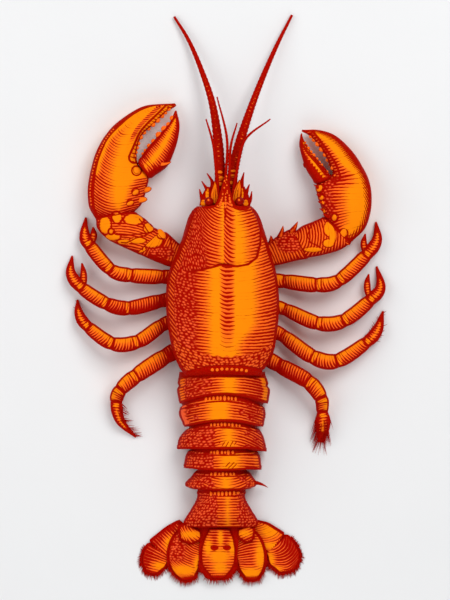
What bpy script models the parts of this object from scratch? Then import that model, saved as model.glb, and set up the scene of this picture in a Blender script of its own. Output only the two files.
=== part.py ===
"""A whole cooked lobster, lying flat on its belly with claws, legs and feelers spread.

Every plate and limb of the shell is its own closed solid, lofted from a few stations. Numbers are
millimetres and become metres in the mesh. +Y runs to the head, +X to the right of the animal as it
is seen from above, and +Z up, from the surface that it lies on.
"""

import math

import bmesh
import bpy
from mathutils import Vector

MM = 0.001
CLEARANCE = 0.3  # between shells that touch in the real animal

# Heights above the surface
CROWN = 49.0  # highest line of the carapace
RIM = 11.0  # lower edge of the carapace along the legs
FRONT_RIM = 14.6  # the same edge over the roots of the claw arms
WIDEST = 23.0  # where the carapace is widest
BODY_HALF = 20.0  # half the width of the underside that carries the legs
BEAK_LEVEL = 37.5  # the beak between the eyes

# Sides of the cross-sections
SHELL_SIDES = 24
RING_SIDES = 18
CLAW_SIDES = 14
LEG_SIDES = 8
BLADE_SIDES = 10
THREAD_SIDES = 6

SHELL_RED = (0.60, 0.050, 0.008, 1.0)
CLAW_ORANGE = (0.74, 0.110, 0.010, 1.0)
LEG_ORANGE = (0.66, 0.075, 0.009, 1.0)
FEELER_RED = (0.42, 0.020, 0.006, 1.0)
EYE_BLACK = (0.012, 0.004, 0.004, 1.0)


def oval(sides, crown=2.0, keel=2.0):
    """Unit cross-section as (across, up) pairs; a higher power squares the top or the underside."""
    pairs = []
    for i in range(sides):
        angle = math.tau * i / sides
        across, up = math.cos(angle), math.sin(angle)
        power = 2.0 / (crown if up >= 0 else keel)
        pairs.append((math.copysign(abs(across) ** power, across), math.copysign(abs(up) ** power, up)))
    return pairs


def between(rows, place):
    """Smooth value at a place along a list of equal tuples, by a Catmull-Rom curve."""
    first = min(int(place), len(rows) - 2)
    t = place - first
    a, b = rows[first], rows[first + 1]
    before = rows[first - 1] if first else tuple(2 * x - y for x, y in zip(a, b))
    after = rows[first + 2] if first + 2 < len(rows) else tuple(2 * y - x for x, y in zip(a, b))
    return tuple(
        0.5 * (2 * p1 + (p2 - p0) * t + (2 * p0 - 5 * p1 + 4 * p2 - p3) * t**2
               + (3 * p1 - p0 - 3 * p2 + p3) * t**3)
        for p0, p1, p2, p3 in zip(before, a, b, after)
    )


def refine(rows, pieces):
    """The rows with each stretch between two of them cut into so many pieces."""
    last = (len(rows) - 1) * pieces
    return [between(rows, i / pieces) for i in range(last + 1)]


def along(path):
    """Stations of a limb from its centreline: x, y, z, half width, half height."""
    stations = []
    for i, (x, y, z, width, height) in enumerate(path):
        back, ahead = path[max(i - 1, 0)], path[min(i + 1, len(path) - 1)]
        heading = Vector((ahead[0] - back[0], ahead[1] - back[1])).normalized()
        side = Vector((heading.y, -heading.x)) * width
        stations.append((x - side.x, y - side.y, x + side.x, y + side.y, z, height, height, 0.0))
    return stations


def section(station, profile, extra):
    """World points of one cross-section, made larger all round by extra."""
    x_left, y_left, x_right, y_right, level, rise, drop, bow = station
    left, right = Vector((x_left, y_left)), Vector((x_right, y_right))
    half = (right - left) / 2
    half += half.normalized() * extra
    forward = Vector((-half.y, half.x)).normalized()
    points = []
    for across, up in profile:
        plan = (left + right) / 2 + half * across + forward * bow * across**2
        height = level + up * ((rise if up > 0 else drop) + extra)
        points.append(Vector((plan.x, plan.y, height)))
    return points


def loft(name, stations, profile, colour, extra=0.0):
    """A closed solid skinned over its stations, with a fan at each end."""
    rows = [section(station, profile, extra) for station in stations]
    for end, inner in ((rows[0], rows[1]), (rows[-1], rows[-2])):
        middle, behind = sum(end, Vector()) / len(end), sum(inner, Vector()) / len(inner)
        for point in end:
            point += (middle - behind).normalized() * extra
    mesh = bmesh.new()
    loops = [[mesh.verts.new(point * MM) for point in row] for row in rows]
    for lower, upper in zip(loops, loops[1:]):
        for i, vertex in enumerate(lower):
            after = (i + 1) % len(lower)
            mesh.faces.new((vertex, lower[after], upper[after], upper[i]))
    for row, loop in ((rows[0], loops[0]), (rows[-1], loops[-1])):
        hub = mesh.verts.new(sum(row, Vector()) / len(row) * MM)
        for i, vertex in enumerate(loop):
            mesh.faces.new((vertex, loop[(i + 1) % len(loop)], hub))
    bmesh.ops.recalc_face_normals(mesh, faces=mesh.faces)
    data = bpy.data.meshes.new(name)
    mesh.to_mesh(data)
    mesh.free()
    data.shade_smooth()
    data.set_sharp_from_angle(angle=math.radians(40))
    piece = bpy.data.objects.new(name, data)
    bpy.context.collection.objects.link(piece)
    data.materials.append(shell_material(name, colour))
    return piece


def shell_material(name, colour):
    """Glossy cooked shell of one colour."""
    material = bpy.data.materials.new(name)
    material.use_nodes = True
    shader = material.node_tree.nodes["Principled BSDF"]
    shader.inputs["Base Color"].default_value = colour
    shader.inputs["Roughness"].default_value = 0.35
    shader.inputs["Metallic"].default_value = 0.0
    material.diffuse_color = colour
    return material


def combine(piece, operation, name, stations, profile, extra):
    """Adds or cuts a second loft, which stays in the scene as a hidden guide."""
    guide = loft(name, stations, profile, FEELER_RED, extra)
    guide.hide_render = True
    guide.display_type = "WIRE"
    step = piece.modifiers.new(operation.title(), "BOOLEAN")
    step.operation = operation
    step.object = guide


def weld(piece, name, stations, profile):
    combine(piece, "UNION", name, stations, profile, 0.0)


def make_room(piece, name, stations, profile):
    """Cuts the piece back from a neighbour, by that neighbour's own loft with the clearance added."""
    combine(piece, "DIFFERENCE", name + "_room", stations, profile, CLEARANCE)


# Carapace: y, left and right edge, top, lower edge, and how far the sides run ahead of the middle
CARAPACE = (
    (-50.4, -26.6, 26.0, 41.0, RIM, -0.6),
    (-47.2, -30.2, 29.4, 43.0, RIM, -0.6),
    (-36.0, -33.2, 31.6, 46.6, RIM, 0.0),
    (-22.0, -35.3, 33.4, 48.4, RIM, 1.0),
    (-7.0, -36.7, 34.4, CROWN, RIM, 3.0),
    (6.0, -36.0, 33.6, CROWN, RIM + 0.5, 7.0),
    (15.5, -33.0, 31.4, 48.6, RIM + 1.5, 12.0),
    (19.0, -31.4, 29.9, 46.9, RIM + 2.4, 13.5),
    (22.5, -30.2, 29.0, 48.0, RIM + 3.0, 13.0),
    (33.0, -26.4, 26.4, 47.0, FRONT_RIM, 9.0),
    (44.0, -23.8, 23.8, 44.6, FRONT_RIM + 1, 5.0),
    (52.0, -20.4, 20.4, 42.6, FRONT_RIM + 3, 2.0),
    (56.6, -17.6, 17.6, 41.4, FRONT_RIM + 6, 0.0),
)
BEAK = (
    (57.4, -6.6, 7.4, BEAK_LEVEL + 3.2, BEAK_LEVEL - 4.0, 0.0),
    (63.0, -4.6, 5.6, BEAK_LEVEL + 2.8, BEAK_LEVEL - 2.6, 0.0),
    (70.0, -2.2, 3.5, BEAK_LEVEL + 2.2, BEAK_LEVEL - 1.4, 0.0),
    (77.0, 0.3, 1.1, BEAK_LEVEL + 1.6, BEAK_LEVEL + 0.6, 0.0),
)


def across_body(rows, widest):
    """Stations square to the body from rows of y, left, right, top, bottom, bow."""
    stations = []
    for y, left, right, top, bottom, bow in rows:
        level = min(max(widest, bottom + 0.5), (top + bottom) / 2)
        stations.append((left, y, right, y, level, top - level, level - bottom, bow))
    return stations


def carapace_shape():
    body = refine(across_body(CARAPACE, WIDEST), 2)
    beak = across_body(BEAK, BEAK_LEVEL)
    return body + beak, oval(SHELL_SIDES, crown=2.15, keel=5.0)


def underbody():
    """The breast plate and the bases of the limbs: flat below, upright where the limbs join."""
    rows = (
        (-49.6, 12.0, RIM), (-45.0, BODY_HALF, RIM), (-10.0, BODY_HALF, RIM),
        (8.0, BODY_HALF, RIM), (24.0, 18.0, RIM + 1.4), (40.0, 16.5, FRONT_RIM),
        (52.0, 11.0, FRONT_RIM + 1.4),
    )
    stations = []
    for y, half, rim in rows:
        middle = (rim - CLEARANCE) / 2
        stations.append((-half, y, half, y, middle, middle, middle, 0.0))
    profile = ((1, 1), (-1, 1), (-1, -0.4), (-0.7, -1), (0.7, -1), (1, -0.4))
    return stations, profile


# Tail rings: y, left, right, top, how far the sides run ahead of the middle
TAIL_FLOOR = 0.5
TAIL_WIDEST = 7.0
TAIL_RINGS = (
    ((-51.0, -26.4, 25.4, 37.6, -1.5), (-56.0, -29.6, 28.2, 38.6, -4.5), (-62.6, -26.8, 26.4, 38.6, -6.8)),
    ((-63.4, -26.6, 24.0, 36.4, -6.8), (-71.0, -28.6, 25.2, 37.0, -5.4), (-79.8, -23.4, 22.6, 37.0, -4.4)),
    ((-80.2, -23.2, 21.0, 34.4, -4.4), (-89.0, -28.8, 24.6, 35.0, -2.2), (-97.6, -30.4, 26.2, 34.6, 0.0)),
    ((-98.0, -22.4, 18.6, 31.8, 0.0), (-103.6, -24.6, 21.6, 32.4, 0.6), (-111.4, -25.8, 22.8, 31.8, 1.4)),
    ((-112.0, -18.0, 13.8, 28.8, 0.5), (-116.0, -21.2, 18.0, 29.4, 0.0), (-120.8, -25.8, 21.2, 29.0, 0.0),
     (-124.2, -19.4, 15.0, 28.4, 0.4)),
    ((-124.6, -18.0, 13.6, 25.8, 0.4), (-129.6, -17.4, 12.6, 26.4, 0.0), (-136.4, -21.0, 16.2, 26.0, -1.0),
     (-143.0, -25.6, 21.0, 22.6, -2.0), (-148.4, -24.2, 19.4, 15.4, 0.0)),
)


def ring_stations(ring):
    rows = [(y, left, right, top, TAIL_FLOOR, bow) for y, left, right, top, bow in ring]
    return refine(across_body(rows, TAIL_WIDEST), 2)


def ring_profile():
    return oval(RING_SIDES, crown=2.0, keel=4.0)


def make_tail_rings():
    for number, ring in enumerate(TAIL_RINGS, start=1):
        loft(f"tail_ring_{number}", ring_stations(ring), ring_profile(), SHELL_RED)


# Tail fan blades: x, y, z, half width, half thickness along each blade
BLADES = {
    "telson": (
        (-3.0, -149.6, 9.4, 6.4, 2.6), (-3.4, -157.0, 8.8, 9.6, 2.8), (-4.0, -165.5, 7.4, 11.0, 2.4),
        (-4.0, -173.5, 6.2, 9.8, 1.8), (-4.0, -180.0, 5.4, 4.8, 1.0)),
    "blade_base_left": (
        (-20.4, -148.8, 9.4, 5.4, 1.6), (-22.2, -152.6, 9.4, 7.6, 1.9), (-24.2, -156.4, 8.8, 4.6, 1.2)),
    "blade_base_right": (
        (12.4, -148.8, 9.4, 3.8, 1.6), (13.8, -152.4, 9.4, 5.4, 1.9), (15.4, -156.0, 8.8, 3.2, 1.2)),
    "inner_blade_left": (
        (-20.6, -151.6, 5.4, 5.6, 1.5), (-23.8, -158.4, 5.2, 9.4, 1.7), (-25.4, -167.0, 4.6, 10.6, 1.7),
        (-24.8, -175.0, 3.9, 9.0, 1.5), (-23.6, -181.0, 3.4, 4.6, 0.9)),
    "inner_blade_right": (
        (12.6, -151.6, 5.4, 4.6, 1.5), (15.2, -158.4, 5.2, 8.0, 1.7), (16.8, -167.0, 4.6, 9.2, 1.7),
        (17.4, -175.0, 3.9, 7.8, 1.5), (17.6, -181.0, 3.4, 4.2, 0.9)),
    "outer_blade_left": (
        (-28.0, -147.4, 2.3, 4.0, 1.2), (-33.4, -151.8, 2.2, 8.0, 1.4), (-38.8, -157.2, 2.2, 9.2, 1.4),
        (-42.6, -161.8, 2.2, 8.8, 1.2)),
    "outer_tip_left": (
        (-43.0, -162.4, 1.9, 8.8, 1.2), (-45.4, -167.0, 1.9, 9.2, 1.3), (-47.2, -172.4, 1.8, 7.8, 1.1),
        (-48.6, -177.4, 1.7, 4.2, 0.7)),
    "outer_blade_right": (
        (19.6, -146.8, 2.3, 3.4, 1.2), (24.0, -150.0, 2.2, 7.2, 1.4), (29.2, -154.4, 2.2, 8.8, 1.4),
        (33.4, -158.2, 2.2, 8.6, 1.2)),
    "outer_tip_right": (
        (33.9, -158.8, 1.9, 9.0, 1.2), (37.4, -163.6, 1.9, 9.8, 1.3), (40.4, -169.0, 1.8, 8.6, 1.1),
        (42.6, -173.6, 1.7, 4.8, 0.7)),
}


def make_tail_fan():
    profile = oval(BLADE_SIDES, crown=2.4, keel=2.4)
    last_ring = ring_stations(TAIL_RINGS[-1]), ring_profile()
    for name, path in BLADES.items():
        blade = loft(name, along(refine(path, 3)), profile, SHELL_RED)
        if name.startswith("outer_tip"):
            nearer = BLADES[name.replace("tip", "blade")]
            make_room(blade, name, along(refine(nearer, 3)), profile)
        else:
            make_room(blade, name, *last_ring)


# Claws: left edge x, y, right edge x, y, height of the middle, half thickness
CLAWS = {
    "left": {
        "palm": (
            (-79.0, 49.4, -58.4, 53.6, 9.6, 7.4), (-85.2, 57.0, -53.6, 59.0, 10.8, 10.2),
            (-87.0, 67.5, -50.6, 68.0, 11.3, 11.1), (-86.2, 79.0, -49.6, 77.0, 11.3, 11.1),
            (-82.6, 91.0, -56.0, 86.0, 10.8, 10.2), (-77.0, 102.0, -54.0, 100.6, 10.0, 8.4),
            (-65.4, 113.8, -45.8, 109.4, 9.0, 6.6), (-50.6, 121.7, -37.2, 117.6, 8.0, 4.6),
            (-32.4, 123.4, -31.2, 121.6, 7.0, 1.2)),
        "finger": (
            (-54.9, 86.4, -47.8, 76.6, 11.4, 8.6), (-50.4, 93.6, -38.0, 83.2, 10.8, 8.0),
            (-45.2, 99.6, -33.0, 91.0, 10.0, 6.8), (-39.8, 106.0, -29.8, 100.4, 9.2, 5.2),
            (-35.2, 111.2, -28.8, 109.6, 8.4, 3.4), (-31.9, 118.4, -30.6, 118.0, 7.6, 0.9)),
        "wrist": (
            (-78.4, 49.0, -58.2, 53.2, 10.0, 7.4), (-79.6, 43.2, -50.4, 48.6, 11.0, 9.0),
            (-75.2, 36.2, -45.9, 44.2, 11.6, 9.2), (-65.6, 31.2, -43.0, 42.6, 11.2, 8.2),
            (-57.4, 27.6, -41.6, 41.6, 10.4, 7.2)),
        "arm": (
            (-56.6, 27.4, -41.0, 41.2, 9.6, 6.8), (-50.0, 24.2, -36.8, 40.2, 8.6, 7.0),
            (-42.0, 20.8, -31.4, 35.4, 7.4, 6.4), (-33.4, 18.0, -26.0, 31.4, 7.0, 5.8),
            (-18.6, 16.0, -16.6, 28.0, 6.8, 5.6)),
    },
    "right": {
        "palm": (
            (64.0, 51.0, 80.8, 34.6, 9.6, 7.4), (61.8, 57.0, 89.4, 43.6, 10.8, 10.2),
            (59.4, 64.6, 93.1, 54.0, 11.3, 11.1), (58.8, 71.0, 93.5, 64.6, 11.3, 11.1),
            (69.0, 77.4, 91.6, 75.0, 10.8, 10.2), (67.4, 83.4, 86.2, 84.8, 10.0, 8.4),
            (63.6, 91.0, 79.6, 94.0, 9.0, 6.6), (58.4, 98.4, 71.2, 101.6, 8.2, 5.2),
            (53.2, 103.4, 61.0, 106.2, 7.6, 3.6), (49.8, 105.2, 50.4, 106.4, 7.0, 1.0)),
        "finger": (
            (57.8, 72.2, 68.2, 76.4, 11.2, 8.2), (52.6, 80.3, 65.4, 80.6, 10.6, 7.6),
            (49.8, 88.0, 60.4, 86.8, 9.8, 6.2), (47.9, 96.3, 54.4, 94.0, 8.8, 4.4),
            (48.5, 102.0, 50.9, 99.9, 7.8, 2.2), (49.0, 103.9, 49.8, 103.3, 7.2, 0.8)),
        "wrist": (
            (63.2, 50.2, 80.4, 34.0, 10.0, 7.4), (56.2, 47.2, 73.0, 29.8, 11.2, 8.8),
            (49.8, 44.6, 62.8, 26.8, 11.4, 8.6), (45.6, 41.4, 53.8, 25.4, 10.4, 7.4)),
        "arm": (
            (45.2, 41.2, 53.2, 25.0, 9.6, 7.0), (41.6, 42.4, 45.8, 23.2, 9.0, 7.4),
            (33.4, 37.8, 36.8, 20.6, 7.6, 6.6), (27.6, 33.2, 30.4, 18.8, 7.0, 5.8),
            (16.6, 28.0, 18.6, 16.0, 6.8, 5.6)),
    },
}


def edged(rows):
    """Stations from pairs of edge points in plan, with one thickness above and below the middle."""
    return [(xl, yl, xr, yr, level, half, half, 0.0) for xl, yl, xr, yr, level, half in rows]


def make_claws(body_room):
    profile = oval(CLAW_SIDES, crown=2.2, keel=2.6)
    slim = oval(LEG_SIDES + 2, crown=2.2, keel=2.6)
    for side, claw in CLAWS.items():
        shapes = {part: refine(edged(rows), 2) for part, rows in claw.items()}
        loft(f"claw_{side}", shapes["palm"], profile, CLAW_ORANGE)
        finger = loft(f"claw_finger_{side}", shapes["finger"], slim, CLAW_ORANGE)
        wrist = loft(f"wrist_{side}", shapes["wrist"], profile, LEG_ORANGE)
        arm = loft(f"arm_{side}", shapes["arm"], slim, LEG_ORANGE)
        make_room(finger, f"finger_{side}", shapes["palm"], profile)
        make_room(wrist, f"wrist_{side}", shapes["palm"], profile)
        make_room(arm, f"arm_{side}", shapes["wrist"], profile)
        make_room(arm, f"arm_body_{side}", *body_room)


# Legs: x, y, half width at the root, the carapace edge, the joints and the tip
LEG_HEIGHTS = (5.5, 6.0, 15.0, 14.0, 7.6, 5.0, 1.2)
LEGS = {
    "left_1": ((-19.0, 11.0, 4.0), (-37.0, 11.4, 4.2), (-59.4, 12.6, 4.3), (-72.6, 16.6, 4.2),
               (-86.4, 32.0, 4.4), (-89.8, 39.0, 3.4), (-89.2, 50.2, 0.6)),
    "left_2": ((-19.0, -1.8, 4.0), (-38.0, -2.8, 4.2), (-60.5, -7.8, 4.4), (-75.0, -5.0, 4.3),
               (-91.4, 4.8, 4.3), (-98.6, 14.0, 3.4), (-98.0, 25.6, 0.6)),
    "left_3": ((-19.0, -14.6, 4.0), (-37.6, -17.4, 4.3), (-55.0, -28.8, 4.6), (-71.6, -31.0, 4.5),
               (-87.6, -20.6, 3.8), (-93.2, -12.4, 3.2), (-94.6, -2.6, 0.6)),
    "left_4": ((-19.0, -29.6, 4.0), (-35.6, -36.0, 4.4), (-57.6, -51.0, 4.7), (-68.6, -63.4, 4.3),
               (-70.4, -74.6, 3.2), (-65.2, -85.2, 2.0), (-55.4, -92.0, 0.6)),
    "right_1": ((19.0, 9.0, 4.0), (35.6, 9.0, 4.2), (58.6, 6.6, 4.5), (73.0, 9.6, 4.4),
                (90.6, 25.6, 4.4), (97.8, 35.4, 3.4), (97.4, 47.4, 0.6)),
    "right_2": ((19.0, -5.8, 4.0), (36.2, -7.6, 4.2), (59.0, -17.6, 4.7), (76.0, -16.4, 4.5),
                (93.0, -3.4, 4.4), (100.2, 5.2, 3.3), (97.8, 18.8, 0.6)),
    "right_3": ((19.0, -19.6, 4.0), (35.0, -23.8, 4.3), (56.0, -38.8, 4.8), (71.8, -42.0, 4.6),
                (90.4, -30.4, 3.9), (97.4, -22.4, 3.4), (101.2, -9.8, 0.6)),
    "right_4": ((19.0, -34.0, 4.0), (32.4, -42.4, 4.4), (53.4, -54.2, 4.8), (61.4, -65.4, 4.3),
                (62.4, -74.4, 3.8), (62.6, -83.0, 4.8), (61.8, -95.0, 2.0)),
}
NIP_HEIGHT = 6.0
NIPS = {
    "left_1": ((-84.6, 35.8, 2.4), (-84.0, 39.6, 2.2), (-84.4, 44.0, 0.5)),
    "left_2": ((-90.6, 8.8, 2.3), (-90.6, 14.6, 2.1), (-91.6, 20.8, 0.5)),
    "right_1": ((90.0, 29.6, 2.2), (89.4, 34.0, 2.1), (90.4, 39.6, 0.5)),
    "right_2": ((92.0, 2.6, 2.2), (91.6, 8.0, 2.1), (92.6, 13.8, 0.5)),
}
JOINTS = (2, 3, 4)  # places along a leg where it narrows
PINCH = 0.16
STEPS_A_STRETCH = 4
FLOOR_GAP = 0.3  # the legs hang just clear of the surface


def leg_path(points):
    rows = [(x, y, z, half) for (x, y, half), z in zip(points, LEG_HEIGHTS)]
    path = []
    for i, (x, y, z, half) in enumerate(refine(rows, STEPS_A_STRETCH)):
        place = i / STEPS_A_STRETCH
        nearest = min(abs(place - joint) for joint in JOINTS)
        half *= 1 - PINCH * max(0.0, 1 - 3 * nearest)
        path.append((x, y, z, half, min(0.95 * half, z - FLOOR_GAP)))
    return path


def make_legs(body_room):
    profile = oval(LEG_SIDES)
    for name, points in LEGS.items():
        stations = along(leg_path(points))
        leg = loft(f"leg_{name}", stations, profile, LEG_ORANGE)
        make_room(leg, f"leg_{name}", *body_room)
        if name in NIPS:
            path = [(x, y, NIP_HEIGHT, half, half * 0.9) for x, y, half in NIPS[name]]
            nip = loft(f"nip_{name}", along(refine(path, 2)), oval(LEG_SIDES), LEG_ORANGE)
            make_room(nip, f"nip_{name}", stations, profile)


# Feelers, eyes and scales of the head: x, y, z, half width
ANTENNAE = {
    "left": ((-4.4, 56.4, 26.4, 3.4), (-4.2, 68.0, 27.0, 3.6), (-4.3, 79.0, 26.4, 3.2),
             (-5.4, 98.0, 22.0, 2.8), (-8.4, 123.0, 14.6, 2.1), (-14.6, 145.0, 8.8, 1.5),
             (-22.4, 164.0, 4.6, 1.0), (-32.2, 179.4, 1.8, 0.5)),
    "right": ((5.0, 56.4, 26.4, 3.4), (5.6, 68.0, 27.0, 3.6), (6.6, 79.0, 26.4, 3.2),
              (10.4, 98.0, 22.0, 2.8), (17.8, 123.0, 14.6, 2.1), (25.6, 143.0, 9.0, 1.6),
              (34.0, 161.6, 4.8, 1.0), (43.4, 180.8, 1.8, 0.5)),
}
FEELERS = {
    "outer_left": ((-2.7, 58.4, 32.5, 0.9), (-5.0, 76.0, 33.8, 0.9), (-7.2, 96.0, 31.0, 0.8),
                   (-11.8, 112.4, 27.0, 0.4)),
    "inner_left": ((-0.7, 58.4, 32.4, 0.9), (0.7, 76.0, 33.0, 0.9), (1.5, 100.0, 31.0, 0.8),
                   (-4.8, 126.6, 26.0, 0.4)),
    "inner_right": ((1.5, 58.4, 32.4, 0.9), (2.9, 76.0, 33.0, 0.9), (4.0, 95.0, 31.6, 0.8),
                    (8.0, 109.8, 29.0, 0.4)),
    "outer_right": ((3.7, 58.4, 32.4, 0.9), (7.4, 76.0, 33.0, 0.9), (13.4, 98.0, 31.0, 0.8),
                    (29.2, 112.4, 27.0, 0.4)),
}
EYES = {"left": -9.9, "right": 9.5}
EYE_STALK = ((57.8, 1.5), (58.2, 1.6), (58.6, 2.2), (59.8, 2.6), (61.2, 2.3), (62.2, 1.2))
EYE_LEVEL = 36.5
SCALES = {
    "left": ((-6.9, 59.0, 31.4, 2.6, 0.8), (-6.8, 64.0, 32.0, 2.4, 0.8), (-6.2, 72.6, 33.8, 0.5, 0.4)),
    "right": ((7.7, 59.0, 31.4, 2.6, 0.8), (8.0, 64.0, 32.0, 2.6, 0.8), (9.2, 72.6, 33.8, 0.5, 0.4)),
}


# Cheeks: the stout bases beside the antennae, each with three spines that curve forwards
CHEEKS = {
    "left": ((-9.6, 57.0, 25.6, 6.6, 4.4), (-9.4, 62.0, 25.8, 5.6, 4.2), (-8.6, 69.0, 26.4, 3.0, 2.8)),
    "right": ((10.2, 57.2, 25.7, 6.4, 4.4), (10.4, 62.2, 25.9, 5.5, 4.2), (9.8, 69.2, 26.5, 3.0, 2.8)),
}
CHEEK_SPINES = {
    "left": (
        ((-12.6, 58.6, 26.4, 2.6), (-15.4, 62.8, 27.0, 1.7), (-16.0, 67.8, 28.0, 0.4)),
        ((-11.2, 62.4, 27.0, 2.4), (-13.2, 67.6, 27.8, 1.6), (-14.9, 73.2, 29.0, 0.4)),
        ((-9.0, 66.4, 27.2, 2.2), (-9.8, 72.6, 28.2, 1.4), (-12.0, 77.7, 29.6, 0.4))),
    "right": (
        ((13.4, 58.0, 26.4, 2.6), (16.6, 61.4, 27.0, 1.7), (17.2, 66.0, 28.0, 0.4)),
        ((12.4, 61.4, 27.0, 2.4), (15.2, 65.6, 27.8, 1.6), (15.9, 70.3, 29.0, 0.4)),
        ((10.6, 66.0, 27.2, 2.2), (12.2, 72.6, 28.2, 1.4), (12.2, 78.2, 29.6, 0.4))),
}


def make_cheeks():
    profile = oval(LEG_SIDES)
    for side, path in CHEEKS.items():
        cheek = loft(f"cheek_{side}", along(refine(path, 2)), profile, SHELL_RED)
        for number, points in enumerate(CHEEK_SPINES[side], start=1):
            spine = [(x, y, z, half, half * 0.8) for x, y, z, half in refine(points, 2)]
            weld(cheek, f"cheek_{side}_spine_{number}", along(spine), oval(THREAD_SIDES))
        make_room(cheek, f"cheek_{side}_shell", *carapace_shape())
        make_room(cheek, f"cheek_{side}_antenna", antenna_stations(side), profile)


def antenna_stations(side):
    return along([(x, y, z, half, half) for x, y, z, half in refine(ANTENNAE[side], 3)])


def make_head():
    for side in ANTENNAE:
        antenna = loft(f"antenna_{side}", antenna_stations(side), oval(LEG_SIDES), FEELER_RED)
        make_room(antenna, f"antenna_{side}", *carapace_shape())
    for name, points in FEELERS.items():
        path = [(x, y, z, half, half) for x, y, z, half in refine(points, 3)]
        loft(f"feeler_{name}", along(path), oval(THREAD_SIDES), FEELER_RED)
    for side, x in EYES.items():
        path = [(x, y, EYE_LEVEL, half, half) for y, half in EYE_STALK]
        loft(f"eye_{side}", along(path), oval(LEG_SIDES + 4), EYE_BLACK)
    for side, path in SCALES.items():
        loft(f"scale_{side}", along(refine(path, 2)), oval(LEG_SIDES), SHELL_RED)


def main():
    for old in list(bpy.data.objects):
        bpy.data.objects.remove(old)
    loft("carapace", *carapace_shape(), SHELL_RED)
    body_room = underbody()
    loft("underbody", *body_room, LEG_ORANGE)
    make_tail_rings()
    make_tail_fan()
    make_claws(body_room)
    make_legs(body_room)
    make_head()
    make_cheeks()


main()
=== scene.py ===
"""The looks of a whole cooked lobster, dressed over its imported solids.

Lengths in the tables and in the mesh code are millimetres; they become metres when a mesh is made.
+Y runs to the head, +X to the right of the animal as it is seen from above, and +Z up.
"""

import math
import random
from types import SimpleNamespace

import bmesh
import bpy
import numpy as np
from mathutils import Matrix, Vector


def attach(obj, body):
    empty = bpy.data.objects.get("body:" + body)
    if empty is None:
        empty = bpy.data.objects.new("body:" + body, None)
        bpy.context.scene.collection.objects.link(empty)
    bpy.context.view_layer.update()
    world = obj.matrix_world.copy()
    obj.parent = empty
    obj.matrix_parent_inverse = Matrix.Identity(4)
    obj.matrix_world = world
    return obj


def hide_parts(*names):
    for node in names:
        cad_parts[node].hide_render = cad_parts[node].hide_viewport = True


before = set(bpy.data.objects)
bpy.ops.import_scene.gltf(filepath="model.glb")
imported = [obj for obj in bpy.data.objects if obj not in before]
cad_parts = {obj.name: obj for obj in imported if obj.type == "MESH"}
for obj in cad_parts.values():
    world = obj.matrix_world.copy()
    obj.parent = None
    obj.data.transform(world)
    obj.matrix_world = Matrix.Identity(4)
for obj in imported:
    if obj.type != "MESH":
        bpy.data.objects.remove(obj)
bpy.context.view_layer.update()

bl_info = {
    "name": "Cooked Lobster",
    "version": (1, 0, 0),
    "blender": (4, 5, 0),
    "location": "View3D > Sidebar > Lobster",
    "description": "Builds the shell, limbs and feelers of a whole cooked lobster",
    "category": "Add Mesh",
}

MM = 0.001
MARKS = ("tone", "grain", "dot", "edge", "line")
SIDES = {"left": -1, "right": 1}

# Heights on the carapace: its crown, its lower edge at the sides and in front, and its widest level
CROWN = 49.0
RIM = 11.0
FRONT_RIM = 14.6
WIDEST = 23.0
# Heights of the beak, the tail's lower edge and widest level, the eyes and the short pincer fingers
BEAK_LEVEL = 37.5
TAIL_FLOOR = 0.5
TAIL_WIDEST = 7.0
EYE_LEVEL = 36.5
NIP_HEIGHT = 6.0
# Half width of the breast plate, and how far legs and bristles stay above the worktop
BODY_HALF = 20.0
FLOOR_GAP = 0.3
# Distance between the rows of points along the carapace, the tail and the moving fingers
ROW_STEP = 0.44
# Mark of a place that is all dark
DARK = 0.98
# Further than anything on the animal
FAR = 1e6


# Curves and sections


def catmull(rows, pieces=16):
    """Catmull-Rom curve through equal tuples, with each stretch cut into so many pieces."""
    rows = np.array(rows, float)
    rows = np.vstack((2 * rows[0] - rows[1], rows, 2 * rows[-1] - rows[-2]))
    stretches = len(rows) - 3
    place = np.linspace(0, stretches, stretches * pieces + 1)
    first = np.minimum(place.astype(int), stretches - 1)
    t = (place - first)[:, None]
    p0, p1, p2, p3 = (rows[first + k] for k in range(4))
    return 0.5 * (2 * p1 + (p2 - p0) * t + (2 * p0 - 5 * p1 + 4 * p2 - p3) * t**2
                  + (3 * p1 - p0 - 3 * p2 + p3) * t**3)


def lengths(points):
    """Distance along a row of points, from the first one."""
    steps = np.linalg.norm(np.diff(points, axis=0), axis=1)
    return np.concatenate(([0.0], np.cumsum(steps)))


def even(stations, spacing):
    """The stations read again at even steps along their middle line."""
    middle = np.stack([(stations[:, 0] + stations[:, 2]) / 2, (stations[:, 1] + stations[:, 3]) / 2], 1)
    distance = lengths(middle)
    places = np.linspace(0, distance[-1], max(int(distance[-1] / spacing), 6) + 1)
    return np.stack([np.interp(places, distance, column) for column in stations.T], axis=1)


def body_stations(rows, widest):
    """Stations square to the body, from rows of y, left, right, top, bottom and bow."""
    y, left, right, top, bottom, bow = np.array(rows, float).T
    level = np.minimum(np.maximum(widest, bottom + 0.5), (top + bottom) / 2)
    return np.stack((left, y, right, y, level, top - level, level - bottom, bow), axis=1)


def limb_stations(path):
    """Stations square to a centreline, from rows of x, y, z, half width and half height."""
    path = np.array(path, float)
    heading = np.gradient(path[:, :2], axis=0)
    heading /= np.linalg.norm(heading, axis=1)[:, None]
    side = np.stack((heading[:, 1], -heading[:, 0]), axis=1) * path[:, 3:4]
    left, right = path[:, :2] - side, path[:, :2] + side
    rest = np.stack((path[:, 2], path[:, 4], path[:, 4], np.zeros(len(path))), axis=1)
    return np.hstack((left, right, rest))


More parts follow.
